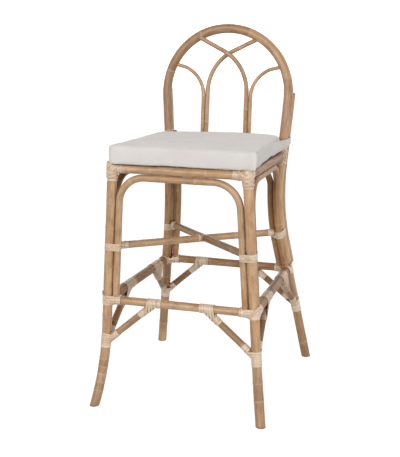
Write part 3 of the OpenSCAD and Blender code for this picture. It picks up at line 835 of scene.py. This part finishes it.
def build_spindles():
    """Two inner spindles that cross under the arch, and two outer ones that lean out to its sides."""
    rear_rail = cylinder_of(leg_at(REAR_RAIL_Z, LEFT, False), leg_at(REAR_RAIL_Z, RIGHT, False), SEAT_RAIL_R)
    inner_x = 0.0625
    outer_x = inner_x + INNER_SPINDLE_R + OUTER_SPINDLE_R - 0.0006
    kinds = (("inner", inner_x, -0.092, 0.940, 26.5, 0.137, INNER_SPINDLE_R, 0.35, (0.0055, 0.0105)),
             ("outer", outer_x, 0.175, 0.911, 14, 0.091, OUTER_SPINDLE_R, 0.1, (0, 0)))
    for side, word in SIDES:
        for kind, x, end_x, bend_z, rise, bend, radius, tone_and_painted_shade, offsets in kinds:
            top = bend_z + abs(end_x - x) * math.tan(math.radians(rise))
            off = 1 if side == LEFT else -1
            corners = [in_back(side * x, REAR_RAIL_Z + 0.003, 0), in_back(side * x, bend_z, off * offsets[0]),
                       in_back(side * end_x, top, off * offsets[1])]
            cuts = [[rear_rail], [(*arch_axis_near(corners[-1]), LEG_R)]]
            pole(f"spindle_{kind}_{word}", bent(corners, [bend]), radius, cuts, "spindle", sides=20,
                 step=0.005, tone_and_painted_shade=tone_and_painted_shade)


def build_slats():
    for i in range(SLAT_COUNT):
        x = (i - (SLAT_COUNT - 1) / 2) * SLAT_PITCH
        ends = [vec(x, y, deck_height(y) + DECK_LIFT) for y in (FRONT_Y - 0.003, REAR_RAIL_Y - 0.006)]
        pole("seat_slats", Path(ends), SLAT_R, ("round", "round"), "pole", sides=16, step=0.02, tone_and_painted_shade=0.2,
             name=f"seat_slat_{i + 1}")


# ---- wound peel ----

STRIP_W = 0.0073
STRIP_T = 0.0010
STRIP_PITCH = 0.0072
STRIP_SECTION = ((-1, 0), (-1, 0.55), (-0.82, 0.9), (-0.3, 1.0), (0.3, 1.0), (0.82, 0.9), (1, 0.55), (1, 0))


def rod(a, b, radius):
    """Surface points and normals of a round rod, for a strip to be pulled round."""
    axis = unit(b - a)
    ways = ways_round(axis, 64)
    along = np.arange(0, np.linalg.norm(b - a), 0.0012)
    points = a + along[:, None, None] * axis + radius * ways[None]
    return points.reshape(-1, 3), np.tile(ways, (len(along), 1))


def arm(p, way, length, radius):
    return rod(p, p + way * length, radius)


def upright(p, up, below, above, radius=LEG_R):
    return rod(p - up * below, p + up * above, radius)


def hull_order(flat):
    """Indices of a flat point set's convex hull, counter-clockwise."""
    order = np.lexsort((flat[:, 1], flat[:, 0]))

    def half(indices):
        chain = []
        for i in indices:
            while len(chain) > 1:
                a, b = flat[chain[-1]] - flat[chain[-2]], flat[i] - flat[chain[-2]]
                if a[0] * b[1] - a[1] * b[0] > 1e-12:
                    break
                chain.pop()
            chain.append(i)
        return chain
    return half(order)[:-1] + half(order[::-1])[:-1]


def smoothed(values, passes):
    for _ in range(passes):
        values = (np.roll(values, 1, 0) + 2 * values + np.roll(values, -1, 0)) / 4
    return values


def taut_loop(centre, normal, rods, lift):
    """The line of a strip pulled tight round the rods in one plane, with the way its face looks."""
    points = np.concatenate([r[0] for r in rods])
    normals = np.concatenate([r[1] for r in rods])
    gap = (points - centre) @ normal
    near = np.abs(gap) < 0.0009
    points, normals = points[near] - np.outer(gap[near], normal), normals[near]
    u = across(ODD_WAY, normal)
    v = np.cross(normal, u)
    flat = np.stack([(points - centre) @ u, (points - centre) @ v], -1)
    ring = hull_order(flat)
    line, faces = points[ring], normals[ring]
    closed = Path(np.vstack([line, line[:1]]))
    count = max(24, int(closed.length / 0.0028))
    s = np.arange(count) * closed.length / count
    line = closed.at(s)
    looking = np.vstack([faces, faces[:1]])
    looking = np.stack([np.interp(s, closed.stations, looking[:, k]) for k in range(3)], -1)
    line, looking = smoothed(line, 2), smoothed(looking, 3)
    looking /= np.linalg.norm(looking, axis=1, keepdims=True)
    return line + looking * lift, looking


def strip_ring(line, looking, rng, tone_and_painted_shade):
    """Points, faces and attributes of one closed strip along a loop."""
    tangents = np.roll(line, -1, 0) - np.roll(line, 1, 0)
    tangents /= np.linalg.norm(tangents, axis=1, keepdims=True)
    looking = looking - tangents * (looking * tangents).sum(1, keepdims=True)
    looking /= np.linalg.norm(looking, axis=1, keepdims=True)
    widths = np.cross(tangents, looking)
    count, n = len(line), len(STRIP_SECTION)
    share = np.arange(count) / count
    half = STRIP_W / 2 * (1 + 0.04 * np.sin(share * 12.57 + rng.uniform(0, 6.28)))
    x, y = np.array(STRIP_SECTION).T
    points = (line[:, None, :] + widths[:, None, :] * (half[:, None] * x)[:, :, None]
              + looking[:, None, :] * (STRIP_T * y)[None, :, None])
    length = np.concatenate([[0], np.cumsum(np.linalg.norm(np.diff(line, axis=0), axis=1))])
    grain = layers((count, n), length[:, None] + rng.uniform(0, 50), x * STRIP_W / 2, y * STRIP_T)
    edge = np.clip((np.abs(x) - 0.8) / 0.2, 0, 1) * (y < 0.8)
    stain = np.zeros(count)
    if rng.uniform() < 0.25:
        stain = np.exp(-((share - rng.uniform(0, 1)) / 0.05) ** 2)
    mark = layers((count, n), edge, stain[:, None], tone_and_painted_shade + rng.uniform(-0.4, 1.0))
    rings = numbered(count, n)
    faces = loft(np.vstack([rings, rings[:1]]))
    return points.reshape(-1, 3), faces, grain.reshape(-1, 3), mark.reshape(-1, 3)


class Lashing:
    """All the strips wound round one joint, gathered into one piece."""

    def __init__(self, name, tone_and_painted_shade=0.0):
        self.name, self.rng, self.tone_and_painted_shade, self.parts, self.count = name, randoms(name), tone_and_painted_shade, [], 0

    def loop(self, centre, normal, rods, lift=0.0):
        tilt = self.rng.normal(0, 0.008, 3)
        line, looking = taut_loop(centre, unit(unit(normal) + tilt), rods, lift)
        points, faces, grain, mark = strip_ring(line, looking, self.rng, self.tone_and_painted_shade)
        self.parts.append((points, faces + self.count, grain, mark))
        self.count += len(points)

    def band(self, centre, along, offsets, rods, lift=0.0):
        for offset in offsets:
            self.loop(centre + unit(along) * offset, along, rods, lift)

    def finish(self, node=None):
        points, faces, grain, mark = (np.concatenate(part) for part in zip(*self.parts))
        settle(add_mesh(self.name, points, faces.tolist(), [PEEL], None, grain, mark), node)


def spaced(first, count, pitch=STRIP_PITCH):
    return [first + i * pitch for i in range(count)]


def seat_corner(side, is_front, name):
    p, up, _ = leg_cylinder(SEAT_RAIL_Z[is_front], side, is_front)
    ways = vec(-side, 0, 0), unit(leg_at(SEAT_RAIL_Z[not is_front], side, not is_front) - p)
    leg = upright(p, up, 0.06, 0.0145 if is_front else 0.05)
    tie = Lashing(name, 0.5)
    tie.band(p, up, [-o for o in spaced(0.0175, 3)] if is_front else [0.020, -0.019], [leg])
    for way, count in zip(ways, (3, 2)):
        tie.band(p, way, spaced(0.0215, count), [arm(p, way, 0.06, SEAT_RAIL_R)])
    tie.band(p, up, (-0.0115, -0.0040, 0.0035, 0.0105),
             [leg] + [arm(p, way, 0.020, SEAT_RAIL_R * 0.97) for way in ways])
    for way in ways:
        for slope, lift in ((1, 0.0009), (-1, 0.0018)):
            tie.band(p, unit(way + slope * up), (-0.0085, -0.0008, 0.0069),
                     [leg, arm(p, way, 0.026, SEAT_RAIL_R)], lift)
    tie.finish("seat_bindings")


def stretcher_end(side, is_front, name):
    p, up, _ = leg_cylinder(STRETCHER_Z[is_front], side, is_front)
    hoops = [upright(p + shift, up, 0.03, 0.03, HOOP_R)
             for shift in (toward_middle(side, is_front), toward_side(is_front))]
    inward = unit(STRETCHER_CROSS - p)
    tie = Lashing(name)
    tie.band(p, up, spaced(-STRIP_PITCH, 3), [upright(p, up, 0.03, 0.03)] + hoops)
    tie.band(p, inward, spaced(0.036, 3), [arm(p, inward, 0.08, STRETCHER_R)])
    tie.finish("stretcher_bindings")


def foot_corner(side, is_front, name):
    p, up, _ = leg_cylinder(FOOT_RAIL_Z, side, is_front)
    inward, sideways = vec(-side, 0, 0), unit(leg_at(FOOT_RAIL_Z, side, not is_front) - p)
    leg, near_cross = upright(p, up, 0.05, 0.05), arm(p, inward, 0.030, FOOT_RAIL_R)
    tie = Lashing(name)
    tie.band(p, up, spaced(-0.0115, 4), [leg, near_cross, arm(p, sideways, 0.030, SIDE_FOOT_RAIL_R)], 0.0006)
    tie.band(p, inward, spaced(0.0235, 3), [arm(p, inward, 0.08, FOOT_RAIL_R)], 0.0012)
    tie.band(p, sideways, spaced(0.0255, 3), [arm(p, sideways, 0.08, SIDE_FOOT_RAIL_R)], 0.0012)
    tie.band(p, unit(inward + 0.8 * up), (0.002,), [leg, near_cross], 0.0018)
    tie.finish("foot_corner_bindings")


def brace_on_rail(side, is_front, kind, name):
    """Strips go round rail and brace together and close the narrow angle between them."""
    top, foot, corner = brace_points(side, is_front, kind)
    u, v = unit(corner - top), unit(foot - top)
    rail, brace = upright(top, u, 0.05, 0.055, BRACED_RAIL_R[kind]), arm(top, v, 0.085, BRACE_R)
    # The side lashings get a much darker tone: painted shade.
    tone_and_painted_shade, brace_turns, rail_turns = (0.1, 4, 6) if kind == "cross" else (1.7, 7, 9)
    tie = Lashing(name, tone_and_painted_shade)
    tie.band(top, v, spaced(0.0340, brace_turns), [brace])
    slant = across(v, u)
    start = -0.0105 if side == RIGHT and is_front and kind == "cross" else -0.0165
    for i, step in enumerate(spaced(start, rail_turns)):
        tie.loop(top + u * step, unit(u - slant * 0.18 * i / (rail_turns - 1)), [rail, brace], 0.0006)
    tie.finish("brace_rail_bindings")


def brace_on_leg(side, is_front, name):
    p, up, _ = leg_cylinder(BRACE_Z[is_front], side, is_front)
    ways = [unit(brace_points(side, is_front, kind)[0] - p) for kind in ("cross", "side")]
    near = [upright(p, up, 0.05, 0.05)] + [arm(p, way, 0.045, BRACE_R) for way in ways]
    tie = Lashing(name)
    tie.band(p, up, spaced(-0.019 if side == RIGHT else -0.0115, 6), near, 0.0004)
    for way in ways:
        tie.band(p, way, spaced(0.033, 3), [arm(p, way, 0.08, BRACE_R)])
    tie.finish("brace_leg_bindings")


def build_peel():
    for side, side_word in SIDES:
        for is_front, end_word in ENDS:
            for build, joint in ((seat_corner, "seat_corner"), (stretcher_end, "stretcher"),
                                 (foot_corner, "foot_corner"), (brace_on_leg, "brace_leg")):
                build(side, is_front, f"{joint}_peel_{end_word}_{side_word}")
    for side, is_front, kind, node in each_brace():
        brace_on_rail(side, is_front, kind, node.replace("brace", "brace_rail_peel"))
    along = unit(STRETCHER_ENDS[RIGHT, False] - STRETCHER_ENDS[LEFT, True])
    tie = Lashing("stretcher_cross_peel")
    through = upright(STRETCHER_CROSS, along, 0.05, 0, STRETCHER_R)
    tie.band(STRETCHER_CROSS - along * 0.022, along, (0,), [through])
    tie.finish()


# ---- nails ----

NAIL_R = 0.0014
NAIL_PROFILE = ((1.0, -0.6), (1.0, 0.05), (0.85, 0.3), (0.5, 0.48))


def nail_head(name, centre):
    """A small domed brad head that faces forward, standing a hair proud of the peel."""
    circle = ways_round(FORWARD, 12)
    points = np.concatenate([centre + NAIL_R * (r * circle + h * FORWARD) for r, h in NAIL_PROFILE])
    settle(add_mesh(name, points, capped_loft(numbered(len(NAIL_PROFILE), 12)), [NAIL]))


def build_nails():
    for side, word in SIDES:
        places = {
            "seat": leg_at(SEAT_Z, side, True) + vec(-side * 0.0455, -SEAT_RAIL_R, 0.001),
            "stretcher": (leg_at(STRETCHER_Z[True], side, True)
                          + vec(-side * 0.012, -0.55 * LEG_R - 0.45 * HOOP_R - 0.0012, 0)),
            "brace": brace_points(side, True, "cross")[0] + vec(0, -FOOT_RAIL_R - 0.0012, -0.002),
        }
        for place, p in places.items():
            nail_head(f"nail_{place}_{word}", p)


# ---- cushion ----

CUSHION_TURN = math.radians(2.0)
CUSHION_MIDDLE = vec(0.004, -0.045)
CUSHION_AHEAD, CUSHION_BEHIND = 0.2195, 0.196
CUSHION_FRONT_HALF, CUSHION_REAR_HALF = 0.2075, 0.1880
CORNER_RADII = (0.013, 0.013, 0.042, 0.042)
FRONT_THICKNESS, REAR_THICKNESS = 0.0400, 0.0365
CUSHION_LIFT = SEAT_RAIL_R + 2 * SLAT_R + 0.0006
TIE_Z = node_middle("tie_right", 2)
POST = rear_at(TIE_Z)


def cushion_outline(inset=0.0):
    """The cushion's plan, counter-clockwise from the front left. It lies on the seat slightly turned."""
    f, b = -CUSHION_AHEAD + inset, CUSHION_BEHIND - inset
    wf, wb = CUSHION_FRONT_HALF - inset, CUSHION_REAR_HALF - inset
    corners = [vec(-wf, f), vec(wf, f), vec(wb, b), vec(-wb, b)]
    outline = []
    for i in range(4):
        before, here, after = corners[i - 1], corners[i], corners[(i + 1) % 4]
        r, next_r = CORNER_RADII[i], CORNER_RADII[(i + 1) % 4]
        a, c = unit(before - here), unit(after - here)
        start, end = here + a * r, here + c * r
        for t in np.linspace(0, 1, 13):
            outline.append((1 - t) ** 2 * start + 2 * t * (1 - t) * here + t * t * end)
        run = after - here
        length = np.linalg.norm(run)
        inward = vec(-run[1], run[0]) / length
        for s in np.linspace(r + 0.004, length - next_r - 0.004, 95):
            share = s / length
            outline.append(here + run * share + inward * 0.0030 * math.sin(math.pi * share) ** 0.7)
    c, s = math.cos(CUSHION_TURN), math.sin(CUSHION_TURN)
    outline = CUSHION_MIDDLE + np.array(outline) @ np.array([[c, s], [-s, c]])
    for side in (LEFT, RIGHT):
        post = vec(side * POST[0], POST[1])
        off = outline - post
        gap = np.linalg.norm(off, axis=1)
        keep_out = LEG_R + 0.0025 + inset
        near = gap < keep_out
        outline[near] = post + off[near] * (keep_out / gap[near])[:, None]
    return outline


def wall_at(axis, value, sign):
    """Where the cushion's side stands at a given x or y, on the side that sign names."""
    outline = cushion_outline()
    near = outline[np.abs(outline[:, axis] - value) < 0.006]
    return sign * (sign * near[:, 1 - axis]).max()


def cushion_base_height(y):
    return deck_height(y) + CUSHION_LIFT


def thickness(y):
    share = np.clip((y - CUSHION_MIDDLE[1] + CUSHION_AHEAD) / (CUSHION_AHEAD + CUSHION_BEHIND), 0, 1)
    return mix(FRONT_THICKNESS, REAR_THICKNESS, share)


def deck_point(xy, height):
    return vec(xy[0], xy[1], cushion_base_height(xy[1]) + height)


# Inset and height of each ring: above the base, then a share of the thickness, then below the top.
PROFILE = ((0.004, 0.0), (0.0014, 0.0012), (0.0, 0.004), (-0.0010, 0.5), (0.0, -0.006), (0.0022, -0.0016),
           (0.006, 0.0))


def cushion_start():
    """A closed box with rounded edges, the shape the stuffing is pumped into."""
    points = []
    for i, (inset, rise) in enumerate(PROFILE):
        for p in cushion_outline(inset):
            full = thickness(p[1])
            points.append(deck_point(p, rise if i < 3 else full * rise if i == 3 else full + rise))
    rings = numbered(len(PROFILE), len(points) // len(PROFILE))
    return add_mesh("cushion_start", np.array(points), capped_loft(rings), [CANVAS])


def evaluated_mesh(piece):
    bpy.context.view_layer.update()
    shown = piece.evaluated_get(bpy.context.evaluated_depsgraph_get())
    return bpy.data.meshes.new_from_object(shown)


def set_mesh(piece, mesh):
    piece.modifiers.clear()
    piece.data = mesh


def vertex_array(mesh, what="co"):
    flat = np.zeros(len(mesh.vertices) * 3, np.float32)
    mesh.vertices.foreach_get(what, flat)
    return flat.reshape(-1, 3).astype(float)


def move_points(mesh, points):
    mesh.vertices.foreach_set("co", points.astype(np.float32).ravel())


def seam_lines():
    """The top and bottom seams, where the boxing meets the two panels."""
    outline = cushion_outline(0.0012)
    return [np.array([deck_point(p, 0.0016) for p in outline]),
            np.array([deck_point(p, thickness(p[1]) - 0.0016) for p in outline])]


PUMP_FRAMES = 20
CLOTH = {"quality": 5, "mass": 0.25, "tension_stiffness": 12, "compression_stiffness": 12,
         "bending_stiffness": 0.6, "use_pressure": True, "uniform_pressure_force": 4,
         "vertex_group_mass": "held"}


def pump(piece, held, cap):
    """Cloth simulation under pressure, with every point's travel capped."""
    scene = bpy.context.scene
    rest = vertex_array(piece.data)
    group = piece.vertex_groups.new(name="held")
    for index, weight in enumerate(held):
        if weight > 0.01:
            group.add([index], float(weight), "REPLACE")
    cloth = piece.modifiers.new("pump", "CLOTH")
    for key, value in CLOTH.items():
        setattr(cloth.settings, key, value)
    cloth.settings.effector_weights.gravity = 0
    cloth.point_cache.frame_start, cloth.point_cache.frame_end = 1, PUMP_FRAMES
    for frame in range(1, PUMP_FRAMES + 1):
        scene.frame_set(frame)
    mesh = evaluated_mesh(piece)
    scene.frame_set(1)
    moved = vertex_array(mesh) - rest
    travel = np.linalg.norm(moved, axis=1, keepdims=True)
    move_points(mesh, rest + moved * np.minimum(1, cap / np.maximum(travel, 1e-9)))
    piece.vertex_groups.clear()
    set_mesh(piece, mesh)


def tree_of(points):
    tree = KDTree(len(points))
    for i, p in enumerate(points):
        tree.insert(p, i)
    tree.balance()
    return tree


SEAM_STEP = 0.001


def densified(line):
    path = Path(np.vstack([line, line[:1]]))
    return path.at(np.arange(0, path.length, SEAM_STEP))


def build_cushion():
    piece = cushion_start()
    remesh = piece.modifiers.new("even", "REMESH")
    remesh.mode = "VOXEL"
    remesh.voxel_size = 0.0055
    set_mesh(piece, evaluated_mesh(piece))
    seams = [densified(line) for line in seam_lines()]
    points = vertex_array(piece.data)
    edges = tree_of(np.concatenate(seams))
    held = np.exp(-(np.array([edges.find(p)[2] for p in points]) / 0.005) ** 2)
    held[points[:, 2] - cushion_base_height(points[:, 1]) < 0.003] = 1.0
    pump(piece, held, 0.0075)
    smooth = piece.modifiers.new("smooth", "SUBSURF")
    smooth.levels = smooth.render_levels = 1
    set_mesh(piece, evaluated_mesh(piece))
    shape_cushion(piece, seams)
    piece.data.polygons.foreach_set("use_smooth", [True] * len(piece.data.polygons))
    piece.data.materials.clear()
    piece.data.materials.append(CANVAS)
    piece.name = piece.data.name = "seat_cushion"
    settle(piece, "cushion")


SIDE_DROOP, FRONT_DROOP, CROWN, HIGH_CORNER = 0.0085, 0.0155, 0.0050, 0.0040


def ease(t):
    t = np.clip(t, 0, 1)
    return t * t * (3 - 2 * t)


def shape_cushion(piece, seams):
    """Seam grooves with puckers, soft creases, the front edge's droop, and the cloth's own coordinates."""
    mesh = piece.data
    points = vertex_array(mesh)
    normals = vertex_array(mesh, "normal")
    groove, pucker = np.zeros(len(points)), np.zeros(len(points))
    for i, seam in enumerate(seams):
        tree = tree_of(seam)
        for index, p in enumerate(points):
            _, place, gap = tree.find(p)
            if gap < 0.02:
                groove[index] = max(groove[index], math.exp(-(gap / 0.0021) ** 2))
                wave = math.sin(place * SEAM_STEP / 0.0042 + 3 * noise.noise((place * 0.03, i, 0)))
                pucker[index] += math.exp(-((gap - 0.004) / 0.005) ** 2) * wave
    creases = np.array([noise.noise(Vector(p) * 9 + Vector((3, 1, 7))) for p in points])
    fine = np.array([noise.noise(Vector((p[0] * 34, p[1] * 20, p[2] * 34))) for p in points])
    shift = -0.0011 * groove + 0.00022 * pucker + 0.0010 * creases + 0.00035 * fine
    base = cushion_base_height(points[:, 1])
    above = np.clip((points[:, 2] - base) / 0.008, 0, 1)
    points = points + normals * (shift * above)[:, None]
    low = np.clip(1 - (points[:, 2] - base) / 0.038, 0, 1)
    own = points[:, :2] - CUSHION_MIDDLE
    c, sine = math.cos(CUSHION_TURN), math.sin(CUSHION_TURN)
    own_x, own_y = own[:, 0] * c + own[:, 1] * sine, own[:, 1] * c - own[:, 0] * sine
    beyond_side = ease((np.abs(points[:, 0]) - 0.166) / 0.024)
    beyond_front = ease((0.0105 - CUSHION_AHEAD - own_y) / 0.006)
    points[:, 2] -= np.maximum(SIDE_DROOP * beyond_side, FRONT_DROOP * beyond_front) * low
    crown = np.clip(1 - (own_x / 0.20) ** 2, 0, 1) * np.clip(1 - ((own_y + 0.012) / 0.21) ** 4, 0, 1)
    points[:, 2] += CROWN * crown ** 0.8 * (1 - low)
    points[:, 2] += HIGH_CORNER * ease((own_x + 0.10) / 0.28) * ease((own_y + 0.10) / 0.28) * (1 - low)
    move_points(mesh, points)
    facing = np.abs(normals)
    flat_face = facing[:, 2] > 0.6
    front_face = ~flat_face & (facing[:, 1] > facing[:, 0])
    grain = points[:, [1, 2, 0]]
    grain[flat_face] = points[flat_face][:, [0, 1, 2]]
    grain[front_face] = points[front_face][:, [0, 2, 1]]
    # Painted shade: faces that look down go dark, and the seam grooves are marked for painted shade.
    painted_underside_shade = ease((-normals[:, 2] - 0.55) / 0.3)
    for key, values in (("grain", grain), ("mark", layers(len(points), groove * 0.8, 0, painted_underside_shade))):
        old = mesh.attributes.get(key)
        if old:
            mesh.attributes.remove(old)
        put_vectors(mesh, key, values)


# ---- cushion ties ----

TIE_W = 0.024
TIE_T = 0.0018
HEM_DEPTH = 0.0003


def tie_route(side):
    """Plan of one tie: off the cushion's side, round the post and its doubler, and back to the rear edge."""
    r = LEG_R + 0.0014
    post, back = POST[:2] * vec(side, 1), (POST + DOUBLER_SHIFT)[:2] * vec(side, 1)
    wall = wall_at(1, 0.03, side)
    outer = post[0] + side * r
    route = [(wall - side * 0.0016, 0.014), (wall + side * 0.0006, 0.026), (mix(wall, outer, 0.2), 0.05),
             (mix(wall, outer, 0.6), 0.10), (mix(wall, outer, 0.9), 0.15)]
    for middle, angles in ((post, (0,)), (back, range(0, 181, 12)), (post, (180, 195, 210, 225, 240))):
        for degrees in angles:
            a = math.radians(degrees)
            route.append(middle + r * vec(side * math.cos(a), math.sin(a)))
    for x in (post[0] - side * 0.024, post[0] - side * 0.036, post[0] - side * 0.046):
        route.append((x, wall_at(0, x, 1) + 0.0006))
    return np.array(route)


def build_tie(side, word):
    """A flat fabric tie, wide where it leaves the cushion's corner and even round the post."""
    plan = tie_route(side)
    path = Path(np.column_stack([plan, np.zeros(len(plan))]))
    s = np.linspace(0, path.length, 90)
    line = path.at(s)
    for _ in range(6):
        line[1:-1] = (line[:-2] + 2 * line[1:-1] + line[2:]) / 4
    tangents = np.gradient(line, axis=0)
    tangents /= np.linalg.norm(tangents, axis=1, keepdims=True)
    outward = np.cross(tangents, UP) * side
    lead = np.clip(1 - s / 0.15, 0, 1)
    half = TIE_W / 2 + 0.0078 * lead - 0.0016 * np.exp(-((s - 0.19) / 0.02) ** 2)
    middle = TIE_Z - 0.0030 + 0.0050 * lead + 0.0008 * np.sin(s / 0.03)
    flush = ease(s / 0.012)[:, None]
    steps = np.linspace(-1, 1, 13)
    thick = TIE_T * (1 - 0.35 * np.abs(steps) ** 6)
    rng = randoms("tie_" + word)
    ripple = 0.0004 * np.sin(steps * 5 + rng.uniform(0, 6))[None] * np.sin(s / 0.011)[:, None]
    hem = HEM_DEPTH * np.exp(-((np.abs(steps) - 0.72) / 0.06) ** 2)
    sheets = []
    for face in (0, 1):
        lift = ripple * flush + (thick - hem) * flush * face
        sheet = line[:, None, :] + outward[:, None, :] * lift[:, :, None]
        sheet = sheet + UP * (middle[:, None] + half[:, None] * steps)[:, :, None]
        sheets.append(sheet)
    around = np.concatenate([sheets[0], sheets[1][:, ::-1]], axis=1)
    shape = around.shape[:2]
    grain = layers(shape, s[:, None], np.concatenate([steps, steps[::-1]]) * TIE_W / 2, 0)
    # The hem grooves are marked for painted shade.
    mark = layers(shape, np.concatenate([hem, hem[::-1]]) / HEM_DEPTH * 0.5, 0, 0)
    faces = capped_loft(numbered(*shape))
    if side == LEFT:
        faces = [f[::-1] for f in faces]
    piece = add_mesh("cushion_tie_" + word, around.reshape(-1, 3), faces, [CANVAS], None,
                     grain.reshape(-1, 3), mark.reshape(-1, 3))
    settle(piece, "tie_" + word)


# ---- studio ----

SUNS = (("key", -8, 22, 1.64, 24), ("fill", 70, 16, 1.24, 40), ("back", 190, 50, 0.15, 60))
# Radius and height of each ring of the floor.
SWEEP = ((8, -0.0004), (30, -0.0004), (45, 2.5), (55, 8), (62, 17), (66, 30), (67, 45))


def build_studio():
    """A pale floor that curves up far away, white all round as on a studio sweep."""
    spokes = 64
    around = np.linspace(0, TURN, spokes, endpoint=False)
    circle = np.stack([np.cos(around), np.sin(around), 0 * around], -1)
    points = np.concatenate([circle * vec(r, r, 0) + UP * z for r, z in SWEEP])
    rings = numbered(len(SWEEP), spokes)
    faces = [rings[0].tolist()] + loft(rings).tolist()
    floor = add_mesh("studio_floor", points, faces, [floor_material()])
    floor.visible_diffuse = floor.visible_shadow = False
    world = bpy.data.worlds.new("studio")
    bpy.context.scene.world = world
    world.use_nodes = True
    sky = world.node_tree.nodes["Background"].inputs
    sky["Color"].default_value, sky["Strength"].default_value = (1.0, 0.99, 0.98, 1), 0.41
    for name, azimuth, height, strength, spread in SUNS:
        light = bpy.data.lights.new(name, "SUN")
        light.energy, light.angle = strength, math.radians(spread)
        lamp = bpy.data.objects.new(name, light)
        lamp.rotation_euler = (math.radians(90 - height), 0, math.radians(azimuth))
        bpy.context.scene.collection.objects.link(lamp)


def build_camera():
    camera = bpy.data.cameras.new("camera")
    camera.lens, camera.sensor_width, camera.sensor_fit = 95.08, 36.0, "HORIZONTAL"
    camera.shift_x, camera.shift_y = -0.0057, -0.0019
    eye = bpy.data.objects.new("camera", camera)
    eye.location = (0.9131, -2.8896, 1.2261)
    eye.rotation_euler = (math.radians(90 - 13.89), 0, math.radians(17.767))
    bpy.context.scene.collection.objects.link(eye)
    bpy.context.scene.camera = eye
    bpy.context.scene.view_settings.view_transform = "Standard"


build_camera()
build_studio()
build_legs()
build_rails()
build_hoops()
build_stretchers()
build_braces()
build_spindles()
build_slats()
build_peel()
build_nails()
build_cushion()
for side, word in SIDES:
    build_tie(side, word)
